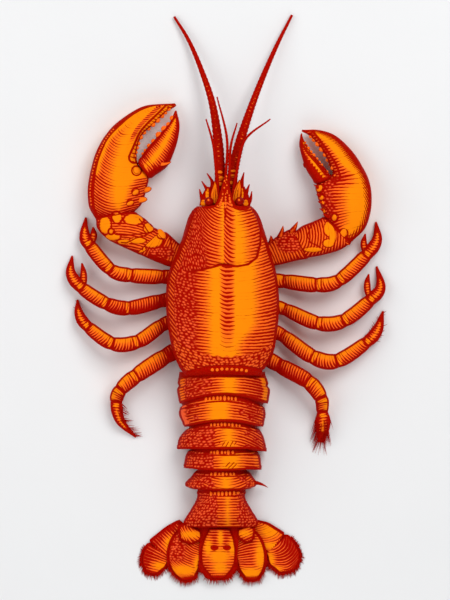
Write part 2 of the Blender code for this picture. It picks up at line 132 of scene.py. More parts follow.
def domed(stations, length):
    """The stations with a rounded end of the given length after the last one."""
    last = stations[-1]
    middle, half = (last[0:2] + last[2:4]) / 2, (last[2:4] - last[0:2]) / 2
    forward = np.array((-half[1], half[0])) / np.linalg.norm(half)
    rows = []
    for t in (0.2, 0.4, 0.6, 0.78, 0.9, 0.97, 0.998):
        shrink = math.sqrt(1 - t * t)
        centre = middle + forward * length * t
        rest = (last[4], last[5] * shrink, last[6] * shrink, last[7] * shrink)
        rows.append((*(centre - half * shrink), *(centre + half * shrink), *rest))
    return np.vstack((stations, rows))


def edge_stations(rows):
    """Stations between two edges in plan, from rows of left x, y, right x, y, level and half height."""
    rows = np.array(rows, float)
    return np.hstack((rows, rows[:, 5:6], np.zeros((len(rows), 1))))


def outline(columns, crown=2.0, keel=2.0, upper=0.6):
    """Unit cross-section as across, up pairs; the upper half gets its share of the columns."""
    above = int(columns * upper)
    angle = np.concatenate((
        np.linspace(0, math.pi, above, endpoint=False),
        np.linspace(math.pi, math.tau, columns - above, endpoint=False),
    ))
    across, up = np.cos(angle), np.sin(angle)
    power = 2.0 / np.where(up >= 0, crown, keel)
    return np.stack((np.sign(across) * np.abs(across) ** power, np.sign(up) * np.abs(up) ** power), axis=1)


# Masks over a surface


def step(low, high, value):
    """Smooth change from 0 to 1 between two values."""
    t = np.clip((value - low) / (high - low), 0, 1)
    return t * t * (3 - 2 * t)


def ramp(low, high, value):
    """Straight change from 0 to 1 between two values."""
    return np.clip((value - low) / (high - low), 0, 1)


def band(value, low, high, soft):
    """1 between two values, with soft ends."""
    return step(low - soft, low + soft, value) * (1 - step(high - soft, high + soft, value))


def hump(value, middle, width):
    """Bell that is 1 at its middle and fades out over a width."""
    return np.exp(-(((value - middle) / width) ** 2))


def scatter(i, j, seed):
    """Number from 0 to 1 that looks random, the same for the same cell of a grid."""
    return np.modf(np.abs(np.sin(i * 127.1 + j * 311.7 + seed * 74.7)) * 43758.5453)[0]


def pebbles(u, v, pitch, seed, stretch):
    """Distance from the nearest grain of a loose grid: 0 at its middle, 1 at its rim."""
    column, row = np.floor(u / pitch / stretch), np.floor(v / pitch)
    nearest = np.full(u.shape, FAR)
    for across in (-1, 0, 1):
        for down in (-1, 0, 1):
            i, j = column + across, row + down
            middle_u = (i + 0.5 + (scatter(i, j, seed) - 0.5) * 0.6 + 0.5 * np.mod(j, 2)) * pitch * stretch
            middle_v = (j + 0.5 + (scatter(i, j, seed + 1) - 0.5) * 0.5) * pitch
            size = 0.34 + 0.20 * scatter(i, j, seed + 2)
            distance = np.hypot((u - middle_u) / stretch / 1.2, v - middle_v) / pitch / size
            nearest = np.minimum(nearest, distance)
    return nearest


def dots(u, v, pitch, seed, stretch, rim=(0.36, 0.84)):
    """Mask of the grains of a loose grid, with soft rims."""
    return 1 - step(*rim, pebbles(u, v, pitch, seed, stretch))


def distance_to(x, y, line):
    """Distance in plan from a line of points."""
    nearest = np.full(x.shape, FAR)
    for (x0, y0), (x1, y1) in zip(line, line[1:]):
        dx, dy = x1 - x0, y1 - y0
        t = np.clip(((x - x0) * dx + (y - y0) * dy) / (dx * dx + dy * dy), 0, 1)
        nearest = np.minimum(nearest, np.hypot(x - x0 - t * dx, y - y0 - t * dy))
    return nearest


# Skins and pieces


def shaded_rim(skin, width):
    """Mask of the painted shade along both side edges, where the shell turns away, so many millimetres wide
    as seen from above.
    """
    return step(width + 0.45, width - 0.45, skin.inset) * step(-0.6, -0.3, skin.up)


def upper_side(skin):
    """Mask of the upper side, with a soft edge."""
    return step(-0.1, 0.2, skin.up)


def knob_shade(skin, knobs):
    """Mask of the painted shade in a ring round each knob: x, y, radius and whatever else it has."""
    mask = np.zeros(skin.x.shape)
    for x, y, radius, *_ in knobs:
        mask = np.maximum(mask, hump(np.hypot(skin.x - x, skin.y - y), radius + 0.8, 0.60))
    return mask


def comb(value, pitch):
    """Saw of even teeth, from 0 to 1 and back."""
    return np.abs(2 * np.mod(value / pitch, 1.0) - 1)


def highlight_mask(skin, places, reach):
    """Mask of painted highlights that fades out over so many half sizes of their places: x, y and half sizes
    along both.
    """
    mask = np.zeros(skin.x.shape)
    for x, y, wide, long in places:
        mask = np.maximum(mask, 1 - ramp(0.45, reach, np.hypot((skin.x - x) / wide, (skin.y - y) / long)))
    return mask


class Skin:
    """Rows of points round a closed section, with the marks that colour them."""

    def __init__(self, points, across, up, half):
        self.points = points
        self.across, self.up = across, up
        self.half = half + np.zeros(across.shape)
        self.inset = self.half * (1 - np.abs(across))  # distance in plan from the nearer side edge
        middle = points.mean(axis=1)
        self.along = np.repeat(lengths(middle)[:, None], points.shape[1], axis=1)
        self.marks = {name: np.zeros(points.shape[:2]) for name in MARKS}

    @property
    def x(self):
        return self.points[..., 0]

    @property
    def y(self):
        return self.points[..., 1]

    @property
    def z(self):
        return self.points[..., 2]

    @property
    def length(self):
        return self.along[-1, 0]

    def normals(self):
        """Outward direction at every point."""
        ahead = np.gradient(self.points, axis=0)
        around = np.roll(self.points, -1, axis=1) - np.roll(self.points, 1, axis=1)
        normal = np.cross(around, ahead)
        normal /= np.maximum(np.linalg.norm(normal, axis=2), 1e-9)[..., None]
        outward = self.points - self.points.mean(axis=1)[:, None]
        return normal if (normal * outward).sum() > 0 else -normal

    def lift(self, amount):
        """Moves every point outwards by its own amount."""
        self.points = self.points + self.normals() * amount[..., None]

    def mark(self, **values):
        """Sets marks by name, each one number or one for every point."""
        for name, value in values.items():
            self.marks[name] = np.maximum(value, 0) + np.zeros(self.points.shape[:2])
        return self

    def perch(self, x, y, lowest=0.2, highest=2.0):
        """Nearest point in plan on the faces whose slope is in range, with its outward direction."""
        normals = self.normals()
        barred = (normals[..., 2] < lowest) | (normals[..., 2] > highest)
        far = np.hypot(self.x - x, self.y - y) + FAR * barred
        spot = np.unravel_index(np.argmin(far), far.shape)
        return self.points[spot], normals[spot]


def loft(stations, profile):
    """Skin over stations: left x, y, right x, y, level, rise, drop and bow."""
    left, right = stations[:, None, 0:2], stations[:, None, 2:4]
    across, up = profile[None, :, 0:1], profile[None, :, 1:2]
    half = (right - left) / 2
    forward = np.stack((-half[..., 1], half[..., 0]), axis=-1)
    forward /= np.linalg.norm(forward, axis=-1)[..., None]
    level, rise, drop, bow = (stations[:, None, k:k + 1] for k in range(4, 8))
    plan = (left + right) / 2 + half * across + forward * bow * across**2
    height = level + up * np.where(up > 0, rise, drop)
    shape = (len(stations), len(profile))
    return Skin(np.concatenate((plan, height), axis=2), np.broadcast_to(across[..., 0], shape),
                np.broadcast_to(up[..., 0], shape), np.linalg.norm(half, axis=-1))


def limb(path, spacing, profile):
    """Skin along a centreline, cut at even steps."""
    return loft(even(limb_stations(path), spacing), profile)


def round_path(rows):
    """Smooth centreline of a round limb, from rows of x, y, z and radius."""
    return catmull([(x, y, z, radius, radius) for x, y, z, radius in rows])


def rod(points, radii, sides, flat=1.0, turn=0.0):
    """Skin round a line in space, with its own thickness at each point."""
    points, radii = np.array(points, float), np.array(radii, float)
    heading = np.gradient(points, axis=0)
    heading /= np.maximum(np.linalg.norm(heading, axis=1), 1e-9)[:, None]
    upright = abs(heading[:, 2].mean()) > 0.6
    side = np.cross(heading, (0.0, 1.0, 0.0) if upright else (0.0, 0.0, 1.0))
    side /= np.maximum(np.linalg.norm(side, axis=1), 1e-9)[:, None]
    over = np.cross(side, heading)
    side, over = math.cos(turn) * side + math.sin(turn) * over, math.cos(turn) * over - math.sin(turn) * side
    angle = math.tau * np.arange(sides) / sides
    across, up = np.cos(angle)[None, :, None], np.sin(angle)[None, :, None]
    ring = across * side[:, None] + up * over[:, None] * flat
    shape = (len(points), sides)
    return Skin(points[:, None] + ring * radii[:, None, None], np.broadcast_to(across[..., 0], shape),
                np.broadcast_to(up[..., 0], shape), radii[:, None])


def horn(start, tip, radius, curl=(0.0, 0.0, 0.0)):
    """A spine: stout at its root, curved by curl at half its length, with a fine tip."""
    t = np.linspace(0, 1, 8)[:, None]
    start, tip = np.array(start, float), np.array(tip, float)
    middle = (start + tip) / 2 + np.array(curl, float)
    points = (1 - t) ** 2 * start + 2 * t * (1 - t) * middle + t**2 * tip
    radii = radius * (1 - t[:, 0]) ** 0.8 + 0.06
    skin = rod(points, radii, sides=10)
    # Painted shade darkens both sides of the spine, leaving it lighter down its middle
    return skin.mark(tone=0.45, edge=0.50 + 0.45 * step(0.35, 0.75, np.abs(skin.across)))


def knob(centre, direction, radius, height, sides=14, rows=8, long=1.0, turn=0.0):
    """A rounded lump that stands on a surface, drawn out to a length and turned on it, pale on top as a
    painted highlight and dark at its foot as painted shade.
    """
    direction = np.array(direction, float)
    direction /= np.linalg.norm(direction)
    angle = np.linspace(-0.45 * math.pi, 0.495 * math.pi, rows)
    points = np.array(centre, float) + direction * height * np.sin(angle)[:, None]
    skin = rod(points, radius * np.cos(angle), sides, long, turn)
    # Painted shade round the foot of the lump, where it meets the surface
    low = 1 - step(-0.2, 0.6, np.sin(angle))[:, None]
    return skin.mark(tone=0.14, edge=DARK * low)


def hair(root, direction, length, radius, droop):
    """One bristle, bent down by its droop."""
    t = np.linspace(0, 1, 4)[:, None]
    points = np.array(root) + np.array(direction) * length * t
    points[:, 2] -= droop * t[:, 0] ** 2
    points[:, 2] = np.maximum(points[:, 2], FLOOR_GAP)
    return rod(points, radius * (1 - 0.85 * t[:, 0]), sides=4).mark(tone=0.9, edge=0.75)


class Piece:
    """One mesh, gathered from many skins."""

    def __init__(self):
        self.points, self.quads, self.fans = [], [], []
        self.marks = {name: [] for name in MARKS}
        self.count = 0

    def add(self, *skins):
        """Takes in skins, with a fan of triangles over each of their ends."""
        for skin in skins:
            rows, columns = skin.points.shape[:2]
            index = np.arange(rows * columns).reshape(rows, columns) + self.count
            after = np.roll(index, -1, axis=1)
            self.quads.append(np.stack((index[:-1], after[:-1], after[1:], index[1:]), -1).reshape(-1, 4))
            self.points.append(skin.points.reshape(-1, 3))
            self.points.append(skin.points[[0, -1]].mean(axis=1))
            hubs = self.count + rows * columns
            for end, hub in ((0, hubs), (-1, hubs + 1)):
                fan = np.stack((index[end], after[end], np.full(columns, hub)), axis=1)
                self.fans.append(fan)
            for name in MARKS:
                values = skin.marks[name]
                self.marks[name].append(values.ravel())
                self.marks[name].append(values[[0, -1]].mean(axis=1))
            self.count += rows * columns + 2
        return self

    def finish(self, name, slot, *nodes):
        """Makes the object in its slot's material, to ride on the frame in place of its solids."""
        data = bpy.data.meshes.new(name)
        faces = np.concatenate(self.quads).tolist() + np.concatenate(self.fans).tolist()
        data.from_pydata((np.concatenate(self.points) * MM).tolist(), [], faces)
        for mark in MARKS:
            layer = data.attributes.new(mark, "FLOAT", "POINT")
            layer.data.foreach_set("value", np.concatenate(self.marks[mark]))
        mesh = bmesh.new()
        mesh.from_mesh(data)
        bmesh.ops.recalc_face_normals(mesh, faces=mesh.faces)
        mesh.to_mesh(data)
        mesh.free()
        data.shade_smooth()
        data.materials.append(finish_of(slot))
        piece = bpy.data.objects.new(name, data)
        bpy.context.collection.objects.link(piece)
        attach(piece, "root")
        if nodes:
            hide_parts(*nodes)


# Materials


class Socket:
    """An output of a node that takes part in sums, so that a material reads as a formula."""

    def __init__(self, paint, output):
        self.paint, self.output = paint, output

    def math(self, operation, *others):
        """Result of a Math node on this and other values."""
        return self.paint.math(operation, self, *others)

    def __add__(self, other):
        return self.math("ADD", other)

    __radd__ = __add__

    def __sub__(self, other):
        return self.math("SUBTRACT", other)

    def __rsub__(self, other):
        return self.paint.math("SUBTRACT", other, self)

    def __mul__(self, other):
        return self.math("MULTIPLY", other)

    __rmul__ = __mul__

    def step(self, low, high):
        """Smooth change from 0 to 1 between two values or sockets."""
        settings = {"interpolation_type": "SMOOTHSTEP"}
        inputs = {"Value": self, "From Min": low, "From Max": high}
        return self.paint.node("ShaderNodeMapRange", settings, inputs)


class Paint:
    """The node tree of one material, with its Principled shader."""

    def __init__(self, name):
        self.material = bpy.data.materials.new(name)
        self.material.use_nodes = True
        self.tree = self.material.node_tree
        self.shader = self.tree.nodes["Principled BSDF"]

    def node(self, kind, settings=None, inputs=None, output=0):
        """Any node: its type, its settings, and the values or links of its sockets."""
        node = self.tree.nodes.new(kind)
        for name, value in (settings or {}).items():
            setattr(node, name, value)
        for name, value in (inputs or {}).items():
            self.feed(node.inputs[name], value)
        return Socket(self, node.outputs[output])

    def feed(self, target, value):
        """Links a socket to an input, or sets the input to a value."""
        if isinstance(value, Socket):
            self.tree.links.new(value.output, target)
        else:
            target.default_value = value

    def math(self, operation, *values):
        return self.node("ShaderNodeMath", {"operation": operation}, dict(enumerate(values)))

    def mark(self, name):
        """One of the marks that the skins carry."""
        return self.node("ShaderNodeAttribute", {"attribute_name": name}, output="Fac")

    def noise(self, size, detail=2.0):
        """Cloudy noise with lumps of about so many millimetres."""
        place = self.node("ShaderNodeTexCoord", output="Object")
        inputs = {"Vector": place, "Scale": 1000.0 / size, "Detail": detail}
        return self.node("ShaderNodeTexNoise", {}, inputs, "Fac")

    def mix(self, factor, first, second):
        """Colour between two colours."""
        return self.node("ShaderNodeMix", {"data_type": "RGBA"}, {0: factor, 6: first, 7: second}, 2)

    def finish(self, colour, roughness, height, depth, fixed):
        """Links what varies and sets what doesn't."""
        self.feed(self.shader.inputs["Base Color"], colour)
        self.feed(self.shader.inputs["Roughness"], roughness)
        bump = self.node("ShaderNodeBump", {}, {"Height": height, "Strength": 1.0, "Distance": depth * MM})
        self.feed(self.shader.inputs["Normal"], bump)
        for name, value in fixed.items():
            self.shader.inputs[name].default_value = value
        return self.material


def rgba(colour):
    return (*colour, 1.0)


def shell_material(name, colours, roughness, paler):
    """Cooked shell: orange where it is lightest, with deep red strokes, grains and edges; the tone mark is
    partly painted light, lightest in painted highlights and deepest in painted shade.
    """
    paint = Paint(name)
    cloud = paint.noise(9.0, 3.0)
    ripple = paint.noise(2.4, 1.0)
    speck = paint.noise(0.9, 2.0)
    tone = paint.mark("tone") + (cloud - 0.5) * 0.10
    line = paint.mark("line") + (paint.noise(14.0) - 0.5) * 0.6 + (ripple - 0.5) * 0.30
    row = line.math("FLOOR")
    chance = paint.node("ShaderNodeTexWhiteNoise", {"noise_dimensions": "1D"}, {"W": row})
    far = (line - row - 0.5).math("ABSOLUTE") * 2.0
    # The strokes widen where the tone is deeper, so they carry painted shade as well as the shell's own
    # streaks
    width = (tone + (chance - 0.5) * 0.20 + (ripple - 0.5) * 0.30 - 0.05) * 1.16
    stroke = 1.0 - far.step(width - 0.17, width + 0.17)
    grains = 1.0 - paint.mark("dot")
    dark = stroke + (grains - stroke) * paint.mark("grain")
    # The edge mark is mostly painted shade, along side edges, in grooves and creases and between parts
    edge = (paint.mark("edge") + (ripple - 0.5) * 0.45).step(0.36, 0.62)
    dark = dark.math("MAXIMUM", edge) * (0.98 + (speck - 0.5) * 0.15)
    # Lit orange where the tone is low, in painted highlights, through to the flank orange in painted shade
    body = paint.mix(tone.step(0.0, 0.45), rgba(colours.bright), rgba(colours.warm))
    body = paint.mix(tone.step(0.40, 0.95), body, rgba(colours.deep))
    body = paint.mix(paler, body, rgba(colours.pale))
    colour = paint.mix(dark, body, rgba(colours.dark))
    roughness = roughness + dark * 0.10 + (speck - 0.5) * 0.12
    height = (1.0 - dark) * 0.6 + speck * 0.25 + cloud * 0.3
    fixed = {"Coat Weight": 0.0, "IOR": 1.05, "Specular Tint": (1.0, 0.30, 0.10, 1.0)}
    return paint.finish(colour, roughness, height, 0.16, fixed)


def eye_material(name, colours):
    """Wet, near-black facets, with a painted glint."""
    paint = Paint(name)
    speck = paint.noise(0.5, 1.0)
    colour = paint.mix(speck.step(0.35, 0.7), rgba(colours.eye), rgba(colours.dark))
    # Painted glint: a pale spot in the eye's colour where a reflection would be
    glint = paint.mark("dot")
    colour = paint.mix(glint, colour, rgba(colours.warm))
    fixed = {"Specular IOR Level": 0.12, "Specular Tint": (1.0, 0.30, 0.20, 1.0)}
    return paint.finish(colour, 0.24 + speck * 0.08, speck, 0.02, fixed)


def floor_material(name, colours):
    """Pale matt worktop, with faint clouds."""
    paint = Paint(name)
    cloud = paint.noise(60.0, 4.0)
    darker = [0.97 * value for value in colours.floor]
    colour = paint.mix(cloud, rgba(colours.floor), rgba(darker))
    return paint.finish(colour, 0.75 + cloud * 0.1, paint.noise(1.5), 0.02, {"Specular IOR Level": 0.2})


# The material of each slot: its name, its roughness, and how much paler it is than the shell
FINISHES = {
    "shell": ("cooked_shell", 0.34, 0.0),
    "claw": ("claw_shell", 0.30, 0.0),
    "leg": ("leg_shell", 0.34, 0.0),
    "fan": ("fan_shell", 0.34, 0.0),
    "feeler": ("feeler_shell", 0.42, 0.0),
    "underside": ("breast_shell", 0.40, 0.35),
    "eye": ("wet_eye",),
}


def finish_of(slot):
    """The material of a slot, made when it is first asked for and then shared."""
    name, *looks = FINISHES[slot]
    make = eye_material if slot == "eye" else shell_material
    return bpy.data.materials.get(name) or make(name, bpy.context.scene.lobster_colours, *looks)


# Carapace

# y, left and right edge, top, lower edge, and how far the sides run ahead of the middle
CARAPACE = (
    (-50.4, -24.6, 23.4, 41.0, RIM, -0.6),
    (-47.2, -27.4, 24.6, 43.0, RIM, -0.6),
    (-36.0, -32.4, 30.8, 46.6, RIM, 0.0),
    (-22.0, -35.5, 33.4, 48.4, RIM, 1.0),
    (-7.0, -37.0, 34.4, CROWN, RIM, 3.0),
    (6.0, -35.6, 32.8, CROWN, RIM + 0.5, 7.0),
    (15.5, -30.2, 29.0, 48.6, RIM + 1.5, 12.0),
    (19.0, -28.2, 27.6, 46.9, RIM + 2.4, 13.5),
    (22.5, -26.9, 26.7, 48.0, RIM + 3.0, 13.0),
    (33.0, -25.0, 24.7, 47.0, FRONT_RIM, 9.0),
    (44.0, -22.9, 22.5, 44.6, FRONT_RIM + 1, 5.0),
    (52.0, -20.4, 20.0, 42.6, FRONT_RIM + 3, 2.0),
    (56.6, -17.6, 17.6, 41.4, FRONT_RIM + 6, 0.0),
)
BEAK = (
    (57.4, -6.4, 7.2, BEAK_LEVEL + 3.2, BEAK_LEVEL - 4.0, 0.0),
    (63.0, -3.7, 4.8, BEAK_LEVEL + 2.8, BEAK_LEVEL - 2.6, 0.0),
    (70.0, -1.7, 3.1, BEAK_LEVEL + 2.2, BEAK_LEVEL - 1.4, 0.0),
    (77.0, 0.3, 1.1, BEAK_LEVEL + 1.6, BEAK_LEVEL + 0.6, 0.0),
)
CERVICAL = ((-28.5, 30.0), (-29.0, 22.0), (-26.0, 15.4), (-20.8, 15.0), (-11.8, 17.0), (-2.9, 19.5),
            (8.0, 18.6), (15.0, 19.8), (20.6, 24.0), (23.2, 33.0), (23.4, 41.9), (21.6, 50.0), (17.8, 55.4))
MIDLINE = ((0.9, 62.0), (0.6, 56.0), (0.2, 44.0), (-0.2, 36.0), (-0.2, 26.0))
# The groove's own line in the middle, and the line along the right flank that runs on from it
GROOVE_MIDDLE = CERVICAL[2:8]
FLANK_LINE = CERVICAL[7:]
# Places along the body, and how wide the painted shade along each side edge is there
RIM_WIDTHS = {
    "left": ((-48, -36, 0, 20, 48), (2.6, 1.6, 1.0, 1.7, 2.4)),
    "right": ((-48, -36, 0, 20, 52), (2.6, 1.6, 1.2, 1.4, 2.2)),
}
# Painted shade in the corners of the brow beside the beak: x, y and the half sizes along both
BROW_SHADES = ((10.8, 57.6, 6.8, 4.2), (-10.4, 58.2, 6.4, 3.6))
# The rear margin bows forwards to both sides of this middle
MARGIN_MIDDLE = 2.0
MARGIN_BOW = 0.006
# First place, last place and distance of the beads across the rear margin and along the beak
MARGIN_BEADS = (-7.6, 14.6, 3.05)
BEAK_BEADS = (56.4, 76.0, 1.45)


def lead_of_groove(x, y):
    """1 ahead of the groove and inside the flank line, 0 behind."""
    groove = np.interp(x, *np.transpose(GROOVE_MIDDLE))
    flank = np.interp(y, *np.transpose(FLANK_LINE)[::-1])
    return step(-0.4, 0.4, y - groove) * step(-0.4, 0.4, flank - x)


def rear_zone(x, y):
    """Distance behind the line where the level grains of the rear margin begin."""
    return -39.0 + 0.010 * (x - 1.5) ** 2 + 0.5 * np.sin(x * 1.1) - y


def carapace_tone_and_shade(skin):
    """How deep the red is, where it is grainy, and where it is streaked along the left edge: partly the
    shell's own colour and partly painted light, with painted highlight bands and painted shade to the left
    and the sides.
    """
    x, y = skin.x, skin.y
    ahead = lead_of_groove(x, y)
    # Behind the groove the red, partly painted shade, grows to the left, over the crown, and to the right of
    # a slanting line, leaving painted highlight bands
    start = np.interp(y, (-33, -28, -23, -18, -8), (5.5, 8.0, 12.5, 15.5, 16.5))
    back = 0.54 * ramp(-6.4, -15.0, x) + 0.26 * ramp(-15, -20, x)
    back += 0.55 * np.clip(1 - ((x - 1.8) / 5.3) ** 2, 0, 1) * ramp(-37, -20, y)
    back += 0.52 * ramp(start, start + 9.0, x) + 0.16 * ramp(26, 33, x)
    # Ahead of it the red, partly painted shade, grows to the left, beside the middle line, and towards the
    # right edge
    start = np.interp(y, (22, 40, 52, 57), (10.5, 10.0, 7.0, 5.0))
    fore = 0.50 * ramp(0.2, -5.6, x) + 0.26 * ramp(-6, -13, x)
    fore += 0.56 * ramp(7.8, 3.6, x) * step(-0.9, 0.3, x)
    fore += 0.46 * ramp(start, start + 8.0, x) + 0.18 * ramp(18, 22, x)
    tone = back + (fore - back) * ahead
    # Grains cover the left flank as far as a wavy border, but for a streaked strip along its edge; the
    # flank's red deepens there as painted shade
    wobble = 0.9 * np.sin(y * 0.9) + 0.9 * np.sin(y * 2.3 + 1)
    border = -18.9 + (7.0 - 0.13 * (y - 20)) * ahead + wobble
    grain = step(border + 1.6, border - 1.6, x)
    tone = tone + (0.90 - tone) * grain
    streak = step(-0.84, -0.88, skin.across) * step(-42, -38, y) * (1 - step(44, 50, y))
    grain *= 1 - streak
    tone = tone + (0.66 - tone) * streak
    rear = step(-0.9, 0.9, rear_zone(x, y))
    tone = tone + (0.66 - tone) * rear
    return tone, np.maximum(grain, rear), streak


def carapace_line(skin, pitch):
    """Number of the stroke at each point: strokes bow forwards at the sides, and lie wider on the crown."""
    x, y = skin.x, skin.y
    slope = np.interp(y, (-33, -18, 0, 16), (0.002, 0.004, 0.008, 0.011))
    back = 0.085 * np.clip(1.8 - x, 0, 4.9) ** 2 + 0.02 * np.clip(x - 1.8, 0, 4.8) ** 2
    back += 0.11 * np.maximum(-7 - x, 0) + slope * np.maximum(x - 9, 0) ** 2
    rise = 0.009 + 0.0010 * np.clip(y - 18, 0, 36)
    beside = np.clip(x + 0.4, 0, 6.4)
    fore = rise * np.maximum(0.3 - x, 0) ** 2 - (1.35 * beside - 0.10 * beside**2)
    fore += (0.008 + 0.00025 * np.clip(y - 30, 0, 30)) * np.maximum(x - 4, 0) ** 2
    ahead = lead_of_groove(x, y)
    crown = np.where(ahead > 0.5, (x > -0.8) & (x < 7.2), (x > -3.4) & (x < 7.2))
    return (y + 100 - back - (fore - back) * ahead) / (pitch * np.where(crown, 0.98, 0.74))


def carapace_dots(skin, pitch):
    """Grains: long and slanted ahead of the groove, rounder behind it, level along the rear margin."""
    x, y = skin.x, skin.y
    girth = 48.7 - 31.0 * np.arctan2(skin.up * 26.0, skin.across * 33.0)
    fore = pebbles(0.62 * girth - 0.78 * y, 0.78 * girth + 0.62 * y, pitch * 0.82, 5, stretch=2.1)
    back = pebbles(0.97 * girth - 0.22 * y, 0.22 * girth + 0.97 * y, pitch, 3, stretch=1.6)
    rear = pebbles(girth, y - 0.008 * x**2, pitch, 7, stretch=1.75)
    far = np.where(lead_of_groove(x, y) > 0.5, fore, back)
    far = np.where(rear_zone(x, y) > 0, rear, far)
    size = 0.63 - 0.12 * step(-22, -8, y) * step(-12, -16, x) + 0.05 * step(0, 1, rear_zone(x, y))
    return 1 - step(size - 0.22, size + 0.22, far)


def make_carapace(sizes):
    """The carapace with its beak, as one shell."""
    body = even(body_stations(catmull(CARAPACE), WIDEST), ROW_STEP)
    beak = even(body_stations(catmull(BEAK), BEAK_LEVEL), 0.40)
    share = np.linspace(0, 1, 9)[1:-1, None]
    brow = body[-1] * (1 - share) + beak[0] * share
    skin = loft(np.vstack((body, brow, beak)), outline(296, crown=2.15, keel=5.0, upper=0.85))
    tone, grain, streak = carapace_tone_and_shade(skin)
    x, y = skin.x, skin.y
    dot = carapace_dots(skin, sizes.grain_pitch)
    upper = step(-0.05, 0.1, skin.up)
    shown = 0.35 + 0.65 * step(-27, -20, x)  # the groove is faint on the left flank
    from_groove = distance_to(x, y, CERVICAL)
    groove = hump(from_groove, 0, 0.80) * upper * shown
    shoulder = hump(from_groove, 2.4, 1.4) * upper * shown
    mid = hump(distance_to(x, y, MIDLINE), 0, 0.95) * upper * ramp(38, 50, y)
    notch = 0.5 + 0.5 * np.sin(y * math.tau / 1.9)
    margin = y + MARGIN_BOW * (x - MARGIN_MIDDLE) ** 2
    relief = 0.26 * dot * grain * upper - sizes.groove_depth * groove + 0.25 * shoulder
    relief += -0.35 * mid * notch - 0.5 * hump(margin, -44.6, 0.8) - 0.4 * step(-48.4, -49.4, margin)
    relief += 0.5 * hump(skin.up, -0.02, 0.09) * step(-49, -46, y) * (1 - step(50, 56, y))
    skin.lift(relief)
    beak_dark = step(57.6, 60.4, y) * (1 - step(9, 12, np.abs(x)))
    rim = np.where(x < 0, *(np.interp(y, *RIM_WIDTHS[side]) for side in SIDES))
    # Painted shade in the sunk groove, middle line and rear margin, in the brow corners and along the side
    # edges, with the dark front edge
    edge = DARK * np.maximum.reduce((
        1.1 * groove, mid * (0.6 + 0.4 * notch), spots(skin, BROW_SHADES), beak_dark,
        step(-43.4, -44.2, margin), shaded_rim(skin, rim)))
    streaks = (1.25 * x + y + 200) / 1.6 / (sizes.stroke_pitch * 0.66)
    line = np.where(streak > 0.5, streaks, carapace_line(skin, sizes.stroke_pitch))
    skin.mark(tone=tone, grain=grain * upper, dot=dot, edge=edge, line=line)
    piece = Piece().add(skin)
    add_carapace_beads(piece, skin)
    piece.finish("carapace_shell", "shell", "carapace")


def add_carapace_beads(piece, skin):
    """Beads along the rear margin and on the beak."""
    for x in np.arange(*MARGIN_BEADS):
        point, normal = skin.perch(x, -46.7 - MARGIN_BOW * (x - MARGIN_MIDDLE) ** 2)
        bead = knob(point, normal, 1.15, 0.55, sides=12, rows=7)
        piece.add(bead.mark(tone=0.34, edge=bead.marks["edge"]))
    draw = random.Random("beak")
    for y in np.arange(*BEAK_BEADS):
        spread = np.interp(y, (57.4, 64.0, 77.0), (4.2, 2.2, 0.7))
        for place in (-1, 0, 1) if y < 65 else (draw.choice((-0.6, 0.0, 0.6)),):
            across = 0.7 + place * spread * draw.uniform(0.75, 1.0)
            point, normal = skin.perch(across, y + draw.uniform(-0.5, 0.5), lowest=-0.2)
            size = draw.uniform(0.42, 0.62) if y > 62 else draw.uniform(0.6, 0.85)
            bead = knob(point, normal + np.array((0.0, 0.4, 0.2)), size, 0.5, 10, 7, draw.uniform(1.0, 1.7))
            piece.add(bead.mark(tone=0.50, edge=bead.marks["edge"]))


# Tail

# y, left, right, top, and how far the sides run ahead of the middle
TAIL_RINGS = (
    ((-51.0, -29.2, 26.2, 39.2, 0.4), (-56.0, -30.6, 29.2, 39.2, -4.2), (-62.6, -28.8, 27.8, 38.8, -6.8)),
    ((-63.4, -28.2, 25.4, 36.6, -6.8), (-71.0, -29.2, 26.4, 37.2, -5.4), (-79.8, -25.6, 24.8, 37.0, -4.4)),
    ((-80.2, -23.6, 22.0, 34.6, -4.4), (-89.0, -29.0, 25.4, 35.2, -2.2), (-97.6, -30.6, 27.2, 34.6, 0.0)),
    ((-98.0, -22.4, 19.8, 32.0, 0.0), (-103.6, -25.0, 22.8, 32.6, 0.6), (-111.4, -26.2, 23.8, 31.8, 1.4)),
    ((-112.0, -18.4, 14.8, 29.0, 0.5), (-116.0, -21.2, 18.0, 29.6, 0.0), (-120.8, -25.4, 20.6, 29.0, 0.0),
     (-124.2, -21.4, 16.8, 28.4, 0.4)),
    ((-124.6, -18.6, 14.8, 26.2, 0.4), (-129.6, -17.6, 13.2, 26.6, 0.0), (-136.4, -21.6, 17.2, 26.0, -1.0),
     (-143.0, -26.2, 21.6, 22.6, -2.0), (-148.4, -24.8, 20.0, 15.4, 0.0)),
)
# For each ring: middle and half width of the painted highlight on its crown, grain left and right of it,
# how pale the side lobes are as painted highlights, left and right, and how its strokes bow, more where
# they fall away to the sides
RING_LOOKS = (
    (2.9, 3.6, 0.52, 0.10, 0.60, 0.80, 0.006), (-3.6, 5.2, 0.36, 0.40, 0.0, 0.25, 0.007),
    (2.6, 2.4, 0.70, 0.34, 0.0, 0.10, 0.018), (3.6, 5.0, 0.95, 0.0, 0.0, 0.45, 0.004),
    (1.0, 2.0, 0.62, 0.46, 0.0, 0.25, -0.018), (2.0, 0.9, 0.95, 0.95, 0.0, 0.0, 0.0),
)
# Short slanting ticks on the crowns of rings 3 and 4
RING_TICKS = {
    3: (((-3.3, -93.8), (-2.2, -92.6)), ((-1.5, -95.6), (0.2, -93.1)), ((0.9, -95.9), (2.6, -93.1)),
        ((3.7, -95.6), (5.4, -92.8)), ((6.4, -94.9), (7.8, -92.8))),
    4: (((0.9, -108.7), (3.3, -106.3)), ((2.6, -109.8), (6.1, -106.3)), ((4.9, -110.1), (7.6, -107.4))),
}
